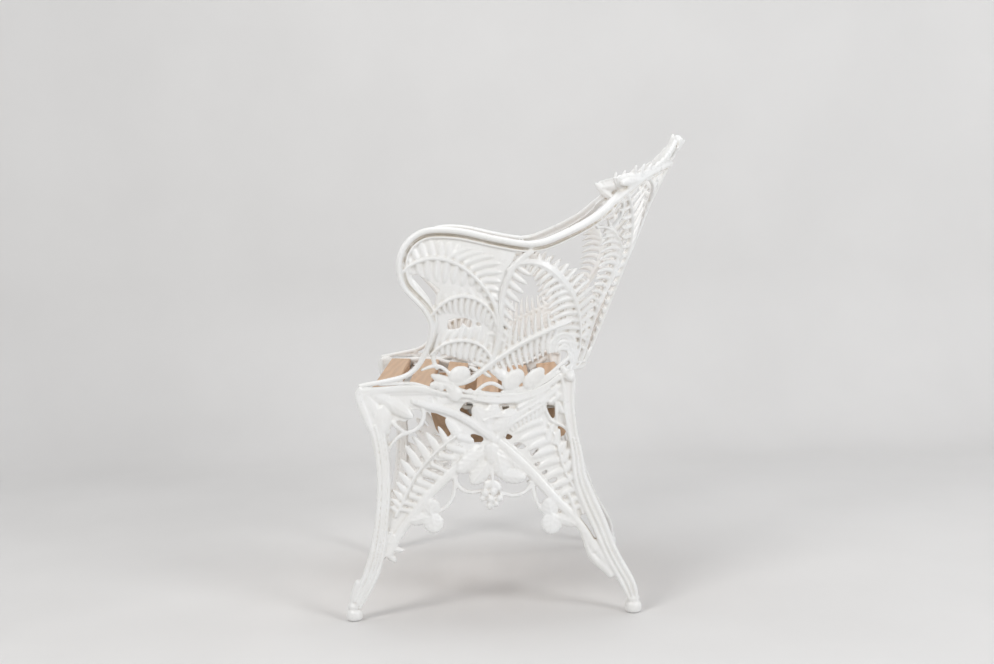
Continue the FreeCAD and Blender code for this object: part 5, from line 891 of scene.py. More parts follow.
def arm_feet(st, places, join):
    """Feet that reach in over the ledge, each with a rounded pad for its bolt."""
    for y, g in places:
        tube(st, [(246.0, y, join(y)), (240.0, y, g + 8.0), (231.0, y, g + 3.6), (213.0, y, g + 3.1)], [5.0, 6.0, 7.6, 8.0], [3.6, 3.4, 3.0, 3.0], None, up=(0, 0, 1), m=16)


# ------------------------------------------------------------------ back casting
BASE_NEAR = [(245.0, -38.6, 393.8), (245.0, -20.0, 396.0), (245.0, -1.2, 401.2), (243.5, 20.0, 408.0), (237.0, 38.0, 416.5), (228.0, 54.0, 425.0), (220.5, 70.0, 430.5)]


def around(points):
    """Shell points from plan angle and height."""
    P = np.asarray(points, float)
    return SHELL.polar(P[:, 0], P[:, 1])


def back_half_stock():
    """Near half of the back; the far half is its mirror image."""
    st = Stock()
    sh = SHELL
    rim = np.array(RIM_REAR)
    tube(st, rim, [6.0, 6.8, 6.8, 6.6, 6.0], [8.6, 8.6, 7.6], sh, 3.0, m=20)
    tube(st, rim, [1.6, 2.3, 2.3, 2.0], 3.0, sh, 3.2, shift=-11.8)
    tube(st, rim, 6.0, 2.2, sh, -1.2, shift=-6.6)
    tube(st, rim, [1.2, 1.8, 1.8], 2.6, sh, -3.8, shift=-10.6)
    # leaf knot on the rim
    blade(st, sh, *N([(641.0, 176.4), (618.6, 182.2)]), width=16, K=0.05, crown=3.8, T=5.6, h=4.4, lift=0.8, veins=3, vein=0.9, serr=3, bite=0.06, fat=1.25, point=0.42)
    blade(st, sh, *N([(639.0, 173.6), (619.4, 178.6)]), width=13, K=-0.10, crown=4.0, T=6.0, h=-3.0, lift=0.0, veins=3, vein=0.9, serr=3, bite=0.06, fat=1.2, point=0.42)
    blade(st, sh, *N([(626.6, 193.0), (619.4, 176.6)]), width=20, K=0.0, crown=3.4, T=5.0, h=-3.0, lift=-0.5, veins=3, vein=0.8, serr=2, bite=0.05, fat=1.1, point=0.4)
    K0 = N([(624.5, 180.5)])[0]
    out = sh.normal(K0[None])[0]
    ball(st, K0 + out * 2.0, 5.0)
    inner = Plate(K0 - out * 5.0, -out)
    for p0, p1, w in (((631.0, 197.0), (616.0, 178.0), 18), ((643.0, 180.0), (619.0, 186.0), 16)):
        q = inner.project(N([p0, p1]))
        blade(st, inner, q[0], q[1], width=w, K=0.12, crown=3.6, T=3.4, h=0.4, lift=1.0, veins=4, vein=0.8, serr=4, bite=0.08, fat=0.95, point=0.6)
    # side stem at the joint with the arm
    D = N([(490.6, 367), (493.4, 358), (496.6, 347), (499.4, 335), (500.6, 320), (501.2, 305), (503.0, 292), (507, 279), (513, 267.6), (521, 258.6), (531, 251.8)])
    tube(st, D, [3.4, 4.2, 4.6, 4.8, 5.0, 5.2, 5.6], [4.4, 4.8, 4.8, 4.8], sh, 2.8)
    tube(st, D[2:-1], [1.4, 1.6, 1.6], 2.0, sh, 6.0, shift=0.0)
    comb(st, sh, [((515.6, 264.6), (533, 276.6), 7.6), ((510.4, 271), (528.4, 285), 8.4), ((506.4, 278.6), (524.6, 294), 8.8), ((503.8, 287), (520.6, 303.4), 8.6), ((502.2, 296.4), (516.6, 312.6), 8.2), ((501.4, 306.4), (513.6, 321.4), 7.4), ((500.8, 316.4), (511.4, 329.6), 6.8), ((500.4, 326.4), (509.4, 337.4), 6.0), ((499.6, 335.6), (507.0, 344.4), 5.2)], 0.42, T=4.8, back=2.2, ridge=0.8, h=0.4, lift=0.6, tip=2.6, root=0.80, full=0.4, edge=0.10)
    # great arched frond
    E = N([(508, 270.6), (514, 265.0), (521, 262.6), (530, 261.8), (540, 263.6), (549, 268.4), (557, 275), (565, 284), (571.2, 294), (575.2, 305), (577.8, 318), (578.4, 331), (577.4, 344), (574, 357), (569, 368)])
    tube(st, E, [3.4, 5.6, 7.8, 8.4, 7.4, 5.8, 4.8, 4.2, 3.8, 3.6], [4.4, 4.6, 4.6], sh, 2.4, m=16)
    tube(st, E[1:], [1.2, 1.6, 1.6, 1.6], 2.0, sh, 6.2, shift=-1.6)
    El = N([(526.5, 271.0), (532.0, 279.0), (537.6, 286), (542.4, 293.6), (545.0, 302.4), (546.6, 311), (548.4, 320), (549.0, 329.4), (547.6, 340), (546.0, 351.0)])
    fern(st, E, -1, 15, 0.15, 0.90, El, 0.0, 1.0, [0.9, 1.15, 1.25, 1.2, 1.1], [4.8, 5.8, 6.4, 6.4, 5.8], T=5.4, back=2.4, ridge=0.6, h=0.4, lift=0.8, tip=3.8, root=0.94, full=0.3, edge=0.04)
    Er = N([(539.0, 252.4), (548.0, 254.6), (556.6, 257.4), (565.0, 261.0), (574.0, 265.4), (582.4, 270.6), (589.2, 277.6), (593.6, 286.4), (595.4, 297.0), (594.6, 308.0), (592.4, 320.0), (589.6, 332.0)])
    fern(st, E, 1, 13, 0.20, 0.80, Er, 0.0, 1.0, [-0.25, -0.35, -0.5, -0.6, -0.6], [4.8, 6.0, 6.6, 6.8, 6.4], T=5.0, back=2.4, ridge=0.6, h=0.2, lift=0.8, tip=3.6, root=0.92, full=0.45, edge=0.04)
    # low diagonal frond
    F = N([(462, 384.6), (470, 379.0), (478, 373.2), (487, 366.2), (500, 356.4), (512, 348.4), (525, 340.8), (540, 333.4), (554, 326.6), (568, 320.8)])
    tube(st, F[1:], [4.8, 5.2, 5.2, 5.0, 4.8, 4.4, 4.0, 3.6], [4.6, 5.0, 5.0], sh, 3.4)
    tube(st, F[1:], [1.2, 1.6, 1.6, 1.4], 2.0, sh, 7.2, shift=0.8)
    Fu = N([(503.4, 333.0), (508.0, 325.0), (514.2, 318.4), (521, 314.4), (529, 312.6), (537, 311.4), (545, 311.0), (552.4, 312.4)])
    fern(st, F, 1, 11, 0.28, 0.90, Fu, 0.0, 1.0, [-0.2, -0.3, -0.2], [4.2, 4.8, 4.8, 4.2], T=3.8, back=2.0, ridge=0.4, h=0.0, tip=2.0, root=0.95, full=0.25, edge=0.1)
    Fd = N([(492, 377.4), (500, 376.0), (509, 373.0), (518, 369.8), (527, 366.0), (536, 362.2), (544.6, 358.0), (552, 353.0)])
    fern(st, F, -1, 13, 0.20, 0.90, Fd, 0.0, 1.0, [0.3, 0.45, 0.5], [4.4, 4.8, 5.0, 5.0, 4.6], T=5.0, back=2.2, ridge=0.3, h=0.4, tip=4.4, root=0.94, full=0.18, edge=0.0)
    # curl where the fronds meet the base
    G = N([(573.5, 351.6), (573.6, 342.6), (569.4, 335.2), (562.4, 332.6), (555.4, 335.6), (550.6, 342.8), (548.6, 352.0)])
    tube(st, G, [3.0, 3.2, 3.2, 3.0, 2.6], [4.0, 4.2, 4.0], sh, 2.6)
    for k, (r0, w0) in enumerate(((0.80, 2.8), (0.58, 2.6), (0.36, 2.4))):
        c = N([(563, 351)])[0]
        tube(st, c + (G - c) * np.array([1, 1, 1.0]) * r0, [w0, w0, w0 * 0.9], [3.4, 3.6, 3.2], sh, 1.8)
    # long stem behind the arch, with its curved leaflets
    H = N([(596, 227.4), (603, 226.8), (609.4, 229.6), (615, 235.4), (618.4, 243.6), (618.8, 253), (616.6, 263), (612.2, 273), (607, 283), (601.2, 294), (596, 306), (591.8, 318), (588, 330), (584.4, 342), (580.6, 354), (575, 366)])
    tube(st, H, [3.0, 4.0, 4.6, 4.4, 4.2, 4.0, 3.8], [4.4, 4.8, 4.8], sh, 2.6, m=14)
    tube(st, H[1:], [1.4, 1.6, 1.6], 2.0, sh, 6.4, shift=-1.0)
    Hl = N([(601.4, 232.6), (598.6, 240.4), (597.4, 249), (597.0, 258), (595.6, 267), (594.4, 276), (591.6, 286), (588.4, 297)])
    fern(st, H, -1, 11, 0.15, 0.62, Hl, 0.0, 1.0, [0.9, 1.1, 1.1, 0.9], [4.6, 5.4, 5.8, 5.6, 5.0], T=5.4, back=2.4, ridge=0.3, h=0.4, lift=0.8, tip=3.4, root=0.92, full=0.2, edge=0.0)
    fern(st, H, -1, 6, 0.64, 0.88, N([(587.0, 303.0), (584.4, 313.0), (582.4, 323), (580.4, 334), (577, 345)]), 0.0, 1.0, [0.6], [4.4, 4.8, 4.4], T=4.2, ridge=0.3, h=0.0, tip=3.4, root=0.9, full=0.25, edge=0.0)
    # the far side of that stem runs round to the rear
    ph = np.array([[47.0, 690.0], [42.5, 678.0], [39.0, 660.0], [37.0, 640.0], [35.6, 620.0], [35.4, 600.0], [36.4, 580.0], [38.6, 560.0]])
    fern(st, H, 1, 11, 0.14, 0.60, around(ph), 0.0, 1.0, [-0.5, -0.7, -0.7, -0.6], [4.6, 5.8, 6.0, 5.6], T=5.0, back=2.4, ridge=0.4, h=0.2, lift=0.6, tip=3.2, root=0.9, full=0.25, edge=0.0)
    fern(st, H, 1, 8, 0.60, 0.93, around([(40.0, 552.0), (41.0, 528.0), (41.5, 505.0), (42.0, 480.0), (42.0, 460.0)]), 0.0, 1.0, [-0.4], [5.2, 5.4, 5.0, 4.4], T=4.4, back=2.4, ridge=0.4, h=0.0, tip=3.4, root=0.9, full=0.25, edge=0.0)
    # small branch that climbs from that stem to the rim
    tube(st, N([(619, 196), (622, 203), (621, 212), (616, 221), (610, 229)]), [3.4, 3.0, 3.2, 3.6], 4.2, sh, 2.4)
    # rear stems, half way to the middle
    R = around([(17.5, 430.0), (15.6, 452.0), (14.8, 480.0), (15.2, 520.0), (17.6, 565.0), (21.6, 612.0), (26.4, 656.0), (31.4, 694.0), (36.5, 722.0), (42.0, 738.0)])
    tube(st, R, [4.4, 4.0, 3.8, 3.8, 4.0, 4.6], [4.6, 4.8, 4.8], sh, 2.6, m=14)
    tube(st, R[1:-1], [1.4, 1.6, 1.6], 2.0, sh, 6.6)
    fern(st, R, 1, 17, 0.08, 0.93, around([(24.0, 468.0), (27.0, 492.0), (28.6, 520.0), (30.4, 552.0), (32.0, 590.0), (33.6, 628.0), (36.4, 662.0), (40.2, 694.0), (44.6, 716.0)]), 0.0, 1.0, [-0.5, -0.7, -0.8, -0.7], [4.8, 5.8, 6.2, 6.2, 5.8, 4.8], T=5.0, back=2.4, ridge=0.4, h=0.2, lift=0.6, tip=3.2, root=0.9, full=0.25, edge=0.0)
    fern(st, R, -1, 18, 0.06, 0.94, around([(9.0, 470.0), (7.0, 500.0), (6.6, 540.0), (7.4, 585.0), (10.0, 630.0), (13.6, 672.0), (18.6, 708.0), (25.0, 736.0), (33.0, 752.0)]), 0.0, 1.0, [0.5, 0.7, 0.8, 0.7], [4.8, 5.8, 6.2, 6.2, 5.8, 4.8], T=5.0, back=2.4, ridge=0.4, h=0.2, lift=0.6, tip=3.2, root=0.9, full=0.25, edge=0.0)
    # line of the upper frond that would hang from the rim at the back; nothing is drawn along it
    I = around([(43.5, 738.0), (38.0, 735.0), (33.6, 722.0), (31.4, 704.0), (29.6, 684.0)])
    # middle stem (half of it) with upswept leaflets, crest above
    M = around([(0.0, 428.0), (0.0, 470.0), (0.0, 520.0), (0.0, 580.0), (0.0, 640.0), (0.0, 700.0), (0.0, 750.0), (0.0, 797.0)])
    tube(st, M, [5.0, 4.6, 4.4, 4.2, 4.2, 4.6, 5.4], [4.6, 5.0, 5.0], sh, 2.6, m=14)
    tube(st, M, [1.6, 1.8, 1.6], 2.2, sh, 7.0)
    fern(st, M, 1, 20, 0.04, 0.86, around([(6.5, 474.0), (5.4, 500.0), (5.4, 540.0), (6.0, 585.0), (8.0, 632.0), (11.0, 676.0), (14.8, 712.0), (19.0, 744.0), (21.0, 764.0)]), 0.0, 1.0, [0.2, -0.2, -0.5, -0.6], [4.6, 5.4, 6.0, 6.4, 6.8, 6.6], T=5.0, back=2.4, ridge=0.5, h=0.2, lift=0.6, tip=3.0, root=0.9, full=0.3, edge=0.0)
    tube(st, around([(12.0, 720.0), (18.0, 740.0), (27.0, 756.0), (36.0, 764.0), (43.0, 762.0)]), [2.4, 3.4, 3.6, 3.4, 3.0], [4.0], sh, 2.4)
    fern(st, around([(12.0, 720.0), (18.0, 740.0), (27.0, 756.0), (36.0, 764.0), (43.0, 762.0)]), 1, 8, 0.1, 0.9, around([(8.0, 752.0), (14.0, 776.0), (22.0, 784.0), (32.0, 786.0), (42.0, 782.0)]), 0.0, 1.0, [-0.3], [5.4, 6.4, 6.0, 5.0], T=4.6, back=2.4, ridge=0.4, h=0.2, tip=3.2, root=0.88, full=0.3, edge=0.0)
    # base band that wraps the rear of the seat
    near = np.array(BASE_NEAR)
    rear = around([(60.0, 431.0), (54.0, 431.0), (46.0, 430.0), (36.0, 429.5), (24.0, 429.5), (12.0, 429.5), (0.0, 429.5), (-4.0, 429.5)])
    base = np.vstack([near[:-1], rear])
    tube(st, base, [4.2, 4.6, 5.0, 5.4, 6.0, 6.0, 6.0], [4.6, 5.0, 6.0, 6.0], sh, 1.6, m=14)
    tube(st, rear, 2.4, 3.0, sh, 4.0, shift=9.5)
    tube(st, rear, 3.6, 2.4, sh, 0.6, shift=6.0)
    for u0, v0, pts, r in (
        (0, 0, [(512, 393.6), (524, 391.0), (537, 386.0), (549, 378.8), (560, 370.8), (569, 363.4), (575, 357.0)], [2.4, 2.8, 3.0, 3.0, 2.8]),
        (0, 0, [(514, 389.6), (526, 386.4), (538, 380.6), (549, 373.4), (559, 365.6), (567, 358.0)], [2.0, 2.4, 2.6, 2.4]),
        (0, 0, [(548, 374), (556, 367.0), (563, 360.4), (569, 353.0)], [2.0, 2.4, 2.2]),
    ):
        tube(st, N(pts), r, 3.6, sh, 3.0)
    blade(st, sh, *N([(504, 388.5), (523, 369.5)]), width=31, K=-0.10, crown=6.2, h=3.4, lift=1.6, veins=3, vein=0.8, serr=3, bite=0.03, fat=0.9, point=0.48)
    blade(st, sh, *N([(524, 387), (543.5, 367)]), width=27, K=0.10, crown=5.6, h=3.4, lift=1.4, veins=3, vein=0.8, serr=3, bite=0.03, fat=0.9, point=0.5)
    blade(st, sh, *N([(507, 380), (493.5, 368)]), width=19, K=0.1, crown=4.8, h=2.2, lift=1.2, veins=3, vein=0.7, serr=2, bite=0.03, fat=0.85, point=0.5)
    tube(st, N([(505, 389.4), (511, 389.6), (520, 388.4), (528, 385.4)]), [2.6, 3.0, 2.8], 3.4, sh, 3.4)
    # leaves around the rear corner
    for (p0, z0, p1, z1, w) in ((63.0, 436.0, 52.0, 470.0, 22.0), (58.0, 434.0, 68.0, 462.0, 18.0), (33.0, 434.0, 40.0, 462.0, 20.0), (33.0, 434.0, 25.0, 462.0, 20.0), (8.0, 434.0, 12.0, 458.0, 16.0)):
        blade(st, sh, *around([(p0, z0), (p1, z1)]), width=w, K=0.1, crown=3.4, h=2.4, lift=2.0, veins=4, vein=0.8, serr=6, bite=0.08)
    # joint ears towards the arm
    for (ya, xa, xb, za, zb) in ((-45.0, 246.0, 263.0, 499.0, 521.0), (12.0, 262.0, 287.0, 630.0, 649.0)):
        tube(st, np.array([(xa + 3, ya + 3.4, (za + zb) / 2), (xb, ya + 3.4, (za + zb) / 2)]), (zb - za) / 2 - 1.0, 2.4, None, up=(0, 1, 0), m=16)
    # lug against the rear post
    tube(st, np.array([(230.0, 78.0, 412.0), (230.0, 78.0, 424.0), (230.0, 78.0, 435.0)]), 8.0, 3.8, None, up=(1, 0, 0), m=16)
    tube(st, np.array([(231.0, 76.0, 431.5), (222.0, 76.0, 431.5), (213.0, 76.0, 431.5)]), 4.6, 4.6, None, up=(0, 0, 1), m=12)
    return st


def web(st, A, B, t, n=40, k=8):
    """Plate of even thickness stretched between two lines."""
    a, b = walk(cubic(A, 2.0), np.linspace(0, 1, n)), walk(cubic(B, 2.0), np.linspace(0, 1, n))
    f = np.linspace(0, 1, k)[None, :, None]
    P = a[:, None] * (1 - f) + b[:, None] * f
    du, dv = np.gradient(P, axis=0), np.gradient(P, axis=1)
    Nn = unit(np.cross(du, dv))
    V = np.concatenate([(P + Nn * t / 2).reshape(-1, 3), (P - Nn * t / 2).reshape(-1, 3)])
    i, j = np.meshgrid(np.arange(n - 1), np.arange(k - 1), indexing="ij")
    q = (i * k + j).ravel()
    top = np.stack([q, q + k, q + k + 1, q + 1], 1)
    m = n * k
    edge = [top, top[:, ::-1] + m]
    i = np.arange(n - 1)
    edge.append(np.stack([i * k, i * k + m, (i + 1) * k + m, (i + 1) * k], 1))
    edge.append(np.stack([i * k + k - 1, (i + 1) * k + k - 1, (i + 1) * k + k - 1 + m, i * k + k - 1 + m], 1))
    j = np.arange(k - 1)
    edge.append(np.stack([j, j + 1, j + 1 + m, j + m], 1))
    e = (n - 1) * k
    edge.append(np.stack([e + j, e + j + m, e + j + 1 + m, e + j + 1], 1))
    st.add(V, np.concatenate(edge))


class Plate:
    """Flat working surface through a point."""

    def __init__(self, c, face):
        self.c, self.face = c, face

    def project(self, P):
        P = np.array(P, float)
        return P - ((P - self.c) @ self.face)[..., None] * self.face

    def normal(self, P):
        return np.broadcast_to(self.face, np.shape(P)).copy()


CREST = [(0.0, 47.0), (26.0, 47.0), (40.0, 43.0), (52.0, 36.0), (64.0, 28.0), (78.0, 21.0), (100.0, 15.5), (125.0, 11.5), (150.0, 8.5), (172.0, 7.0), (190.0, 6.0), (206.0, 4.0)]


def crest_stock():
    """Cresting over the middle of the back: two leafy wings and a bud with a ring."""
    st = Stock()
    rim = cubic(RIM_REAR, 2.0)
    rim = rim[(rim[:, 0] < 200.0) & (rim[:, 0] > -1.0)]
    up = unit(np.array([0.0, 0.49, 0.87]))
    tall = np.interp(rim[:, 0], [q[0] for q in CREST], [q[1] for q in CREST])
    for sx in (1, -1):
        m = np.array([sx, 1.0, 1.0])
        bot, top = rim * m, (rim + up * (tall * 0.86)[:, None]) * m
        web(st, bot, top, 3.6, n=80)
        a, b = walk(bot, np.linspace(0, 1, 60)), walk(top, np.linspace(0, 1, 60))
        for k in range(6, 58, 6):
            c0, c1 = a[k], b[min(59, k + 4)]
            rise = float(np.linalg.norm(b[k] - a[k]))
            c1 = c0 + (c1 - c0) * (1.18 if rise > 13.0 else 0.92)
            lo = float(np.linalg.norm(c1 - c0))
            if lo < 9.0 or rise < 5.0:
                continue
            face = unit(np.cross(a[min(59, k + 1)] - a[k - 1], c1 - c0))
            for way in (1, -1):
                blade(st, Plate(c0, face * way), c0, c1, width=min(21.0, lo * 0.8, 2.0 + rise * 1.1), K=0.12 * sx * way, crown=3.0, T=2.2, h=1.0, lift=0.2, veins=4, vein=0.7, serr=3, bite=0.06, fat=0.85, point=0.5)
    # bud: leaves folded round a core, with a ring on top
    c = np.array([0.0, 282.0, 789.0])

    def Tilt(turn):
        a = math.radians(turn)
        return Plate(c, np.array([1.0, 0.0, 0.0]) * math.sin(a) + np.array([0.0, -0.87, 0.49]) * math.cos(a))

    for turn in (0, 60, 120, 180, 240, 300):
        s = Tilt(turn)
        blade(st, s, c - up * 3.0, c + up * 40.0, width=18, crown=5.0, T=3.0, h=4.4, lift=-0.5, veins=4, vein=0.6, serr=3, bite=0.05, fat=0.8, point=0.5)
    for k in range(10):
        ball(st, c + up * (-4.0 + 5.0 * k), (7.0, 8.8, 9.8, 10.0, 9.8, 9.4, 8.8, 8.4, 8.2, 8.0)[k])
    t = np.linspace(0, 2 * math.pi, 25)
    rc = c + up * 48.0
    ring = rc + np.outer(np.cos(t) * 6.6, [1, 0, 0]) + np.outer(np.sin(t) * 6.6, up)
    for a0, b0 in ((0, 13), (12, 25)):
        tube(st, ring[a0:b0], 3.0, 5.4, Tilt(0), 0.0, m=14)
    for turn in (0, 60, 120, 180, 240, 300):
        s = Tilt(turn)
        blade(st, s, c + up * 26.0, c + up * 55.0, width=15, crown=3.6, T=2.6, h=6.0, lift=4.6, veins=4, vein=0.6, serr=3, bite=0.06, fat=1.0, point=0.6)
    for sx in (1, -1):
        for turn in (0, 180):
            s = Tilt(turn)
            q = s.project(np.array([c + np.array([sx * 4.0, 0, 0]) + up * 16.0, c + np.array([sx * 36.0, 0, 0]) + up * 34.0]))
            blade(st, s, q[0], q[1], width=19, K=0.2 * sx, crown=4.0, T=3.0, h=2.0, lift=1.0, veins=4, vein=0.7, serr=4, bite=0.06, fat=0.8, point=0.5)
    return st


# ------------------------------------------------------------------ seat ledge on the inside of an end frame
LEDGE = [(-266.65, 390.21), (-224.68, 388.81), (-224.08, 388.59), (-207.81, 388.59), (-166.0, 384.59), (-165.4, 380.85), (-148.39, 380.85), (-106.74, 375.47), (-106.14, 372.72), (-87.51, 372.72), (-45.64, 369.41), (-45.04, 368.33), (-25.83, 368.33), (16.17, 368.68), (35.04, 368.68), (35.64, 370.41), (77.51, 373.72)]
GAPS = {-215.0: 388.59, -95.0: 372.72, 25.0: 368.68}


def ledge(st):
    P = np.array(LEDGE)
    n = len(P)
    top, low = P, P - np.array([0.0, 8.0])
    ring = []
    for (q, r) in zip(top, low):
        ring.append([(209.0, q[0], q[1]), (237.5, q[0], q[1]), (237.5, r[0], r[1]), (209.0, r[0], r[1])])
    V = np.array(ring).reshape(-1, 3)
    i, j = np.meshgrid(np.arange(n - 1), np.arange(4), indexing="ij")
    a, b = (i * 4 + j).ravel(), (i * 4 + (j + 1) % 4).ravel()
    Q = np.stack([a, a + 4, b + 4, b], 1)
    Q = np.vstack([Q, [[0, 1, 2, 3]], [[4 * n - 1, 4 * n - 2, 4 * n - 3, 4 * n - 4]]])
    st.add(V, Q)
    # gussets below
    for y in (-235.0, -128.0, -20.0, 60.0):
        z = float(np.interp(y, P[:, 0], P[:, 1])) - 8.0
        tube(st, [(236.0, y, z - 13.0), (226.0, y, z - 5.0), (214.0, y, z + 2.0)], [3.2, 3.0, 2.6], [3.2, 3.0, 2.6], None, up=(0, 1, 0), m=10)


# ------------------------------------------------------------------ finishes
def tree(name):
    m = bpy.data.materials.new(name)
    m.use_nodes = True
    t = m.node_tree
    for n in list(t.nodes):
        t.nodes.remove(n)
    out = t.nodes.new("ShaderNodeOutputMaterial")
    sh = t.nodes.new("ShaderNodeBsdfPrincipled")
    t.links.new(sh.outputs[0], out.inputs[0])
    co = t.nodes.new("ShaderNodeTexCoord")
    return m, t, sh, co


def noise(t, co, scale, detail=4.0, rough=0.5, stretch=(1, 1, 1), distort=0.0, offset=(0, 0, 0)):
    mp = t.nodes.new("ShaderNodeMapping")
    mp.inputs["Scale"].default_value = stretch
    mp.inputs["Location"].default_value = offset
    t.links.new(co.outputs["Object"], mp.inputs["Vector"])
    n = t.nodes.new("ShaderNodeTexNoise")
    n.inputs["Scale"].default_value = scale
    n.inputs["Detail"].default_value = detail
    n.inputs["Roughness"].default_value = rough
    n.inputs["Distortion"].default_value = distort
    t.links.new(mp.outputs[0], n.inputs["Vector"])
    return n.outputs["Fac"]


def fit(t, src, a, b, c, d, smooth=False):
    n = t.nodes.new("ShaderNodeMapRange")
    if smooth:
        n.interpolation_type = "SMOOTHSTEP"
    for k, v in zip(("From Min", "From Max", "To Min", "To Max"), (a, b, c, d)):
        n.inputs[k].default_value = v
    t.links.new(src, n.inputs["Value"])
    return n.outputs[0]


def sums(t, op, a, b):
    n = t.nodes.new("ShaderNodeMath")
    n.operation = op
    for s, v in zip(n.inputs, (a, b)):
        if isinstance(v, (int, float)):
            s.default_value = v
        else:
            t.links.new(v, s)
    return n.outputs[0]


def blendc(t, fac, a, b, kind="MIX"):
    n = t.nodes.new("ShaderNodeMix")
    n.data_type = "RGBA"
    n.blend_type = kind
    t.links.new(fac, n.inputs[0])
    for s, v in zip((n.inputs[6], n.inputs[7]), (a, b)):
        if isinstance(v, tuple):
            s.default_value = v + (1.0,)
        else:
            t.links.new(v, s)
    return n.outputs[2]


def bump(t, height, dist, strength=1.0, under=None):
    n = t.nodes.new("ShaderNodeBump")
    n.inputs["Distance"].default_value = dist
    n.inputs["Strength"].default_value = strength
    t.links.new(height, n.inputs["Height"])
    if under is not None:
        t.links.new(under, n.inputs["Normal"])
    return n.outputs[0]


def enamel_finish():
    m, t, sh, co = tree("white_enamel_paint")
    # paint pools and thins: slow colour drift, brush sag, fine cast grain below it
    drift = noise(t, co, 16.0, 3.0)
    grain = noise(t, co, 700.0, 3.0, 0.6)
    peel = noise(t, co, 210.0, 2.0, 0.5)
    sag = noise(t, co, 70.0, 2.0, 0.5, stretch=(1.0, 1.0, 0.35))
    col = blendc(t, fit(t, drift, 0.35, 0.65, 0.0, 1.0), (0.83, 0.825, 0.805), (0.86, 0.862, 0.855))
    # painted shade and warm floor bounce in hollows, from concavity and ambient occlusion, broken up by noise like
    # grime
    geo = t.nodes.new("ShaderNodeNewGeometry")
    crease_shade = fit(t, geo.outputs["Pointiness"], 0.40, 0.502, 1.0, 0.0, True)
    # ambient occlusion here paints the shade of recesses into the colour
    ao = t.nodes.new("ShaderNodeAmbientOcclusion")
    ao.samples = 6
    ao.only_local = True
    ao.inputs["Distance"].default_value = 0.016
    deep = fit(t, ao.outputs["AO"], 0.34, 0.90, 1.0, 0.0, True)
    patch = fit(t, noise(t, co, 34.0, 5.0, 0.6, offset=(3.0, 1.0, 2.0)), 0.30, 0.60, 0.45, 1.0)
    hollow_shade_and_grime = sums(t, "MULTIPLY", sums(t, "MAXIMUM", sums(t, "MULTIPLY", crease_shade, 0.55), deep), patch)
    # hollows turn brown: painted shade and bounce light, partly grime
    col = blendc(t, sums(t, "MULTIPLY", hollow_shade_and_grime, 0.80), col, (0.47, 0.39, 0.28))
    # thin paint on the proudest edges
    edge = fit(t, geo.outputs["Pointiness"], 0.545, 0.64, 0.0, 1.0, True)
    worn = sums(t, "MULTIPLY", edge, fit(t, noise(t, co, 120.0, 4.0, 0.65, offset=(7.0, 5.0, 1.0)), 0.52, 0.66, 0.0, 1.0, True))
    col = blendc(t, sums(t, "MULTIPLY", worn, 0.35), col, (0.66, 0.63, 0.57))
    t.links.new(col, sh.inputs["Base Color"])
    r = sums(t, "ADD", fit(t, noise(t, co, 55.0, 4.0, 0.6, offset=(1.0, 9.0, 4.0)), 0.3, 0.7, 0.24, 0.40), sums(t, "MULTIPLY", hollow_shade_and_grime, 0.30))
    t.links.new(r, sh.inputs["Roughness"])
    n1 = bump(t, sag, 0.0011, 0.5)
    n2 = bump(t, peel, 0.00035, 0.6, n1)
    n3 = bump(t, grain, 0.00010, 0.6, n2)
    t.links.new(n3, sh.inputs["Normal"])
    sh.inputs["IOR"].default_value = 1.5
    sh.inputs["Specular IOR Level"].default_value = 0.5
    return m


def wood_finish():
    m, t, sh, co = tree("slat_wood_oiled")
    # long grain along the slat, rings cut at a shallow angle, pores as short dark lines
    rings = noise(t, co, 60.0, 4.0, 0.55, stretch=(0.07, 1.0, 1.0), distort=1.2)
    w = t.nodes.new("ShaderNodeTexWave")
    w.wave_type = "BANDS"
    w.bands_direction = "DIAGONAL"
    w.inputs["Scale"].default_value = 46.0
    w.inputs["Distortion"].default_value = 7.0
    w.inputs["Detail"].default_value = 3.0
    w.inputs["Detail Scale"].default_value = 1.4
    mp = t.nodes.new("ShaderNodeMapping")
    mp.inputs["Scale"].default_value = (0.05, 1.0, 1.0)
    t.links.new(co.outputs["Object"], mp.inputs["Vector"])
    t.links.new(mp.outputs[0], w.inputs["Vector"])
    fibre = noise(t, co, 900.0, 3.0, 0.6, stretch=(0.02, 1.0, 1.0))
    pores = fit(t, noise(t, co, 620.0, 2.0, 0.5, stretch=(0.035, 1.0, 1.0), offset=(2.0, 5.0, 3.0)), 0.64, 0.74, 0.0, 1.0, True)
    tone = noise(t, co, 7.0, 3.0, 0.5, stretch=(0.5, 1.6, 1.6), offset=(5.0, 0.0, 0.0))
    a = blendc(t, fit(t, rings, 0.3, 0.7, 0.0, 1.0), (0.50, 0.295, 0.165), (0.68, 0.445, 0.285))
    b = blendc(t, sums(t, "MULTIPLY", w.outputs["Fac"], 0.50), a, (0.34, 0.18, 0.09))
    c = blendc(t, fit(t, fibre, 0.3, 0.7, 0.0, 0.25), b, (0.64, 0.43, 0.27))
    d = blendc(t, sums(t, "MULTIPLY", pores, 0.5), c, (0.28, 0.16, 0.085))
    e = blendc(t, fit(t, tone, 0.3, 0.7, 0.0, 0.35), d, (0.52, 0.34, 0.22))
    geo = t.nodes.new("ShaderNodeNewGeometry")
    rub = fit(t, geo.outputs["Pointiness"], 0.52, 0.60, 0.0, 0.35, True)
    t.links.new(blendc(t, rub, e, (0.66, 0.48, 0.33)), sh.inputs["Base Color"])
    t.links.new(fit(t, rings, 0.25, 0.75, 0.42, 0.62), sh.inputs["Roughness"])
    n1 = bump(t, rings, 0.0006, 0.5)
    n2 = bump(t, sums(t, "SUBTRACT", fibre, pores), 0.00022, 0.7, n1)
    t.links.new(n2, sh.inputs["Normal"])
    return m


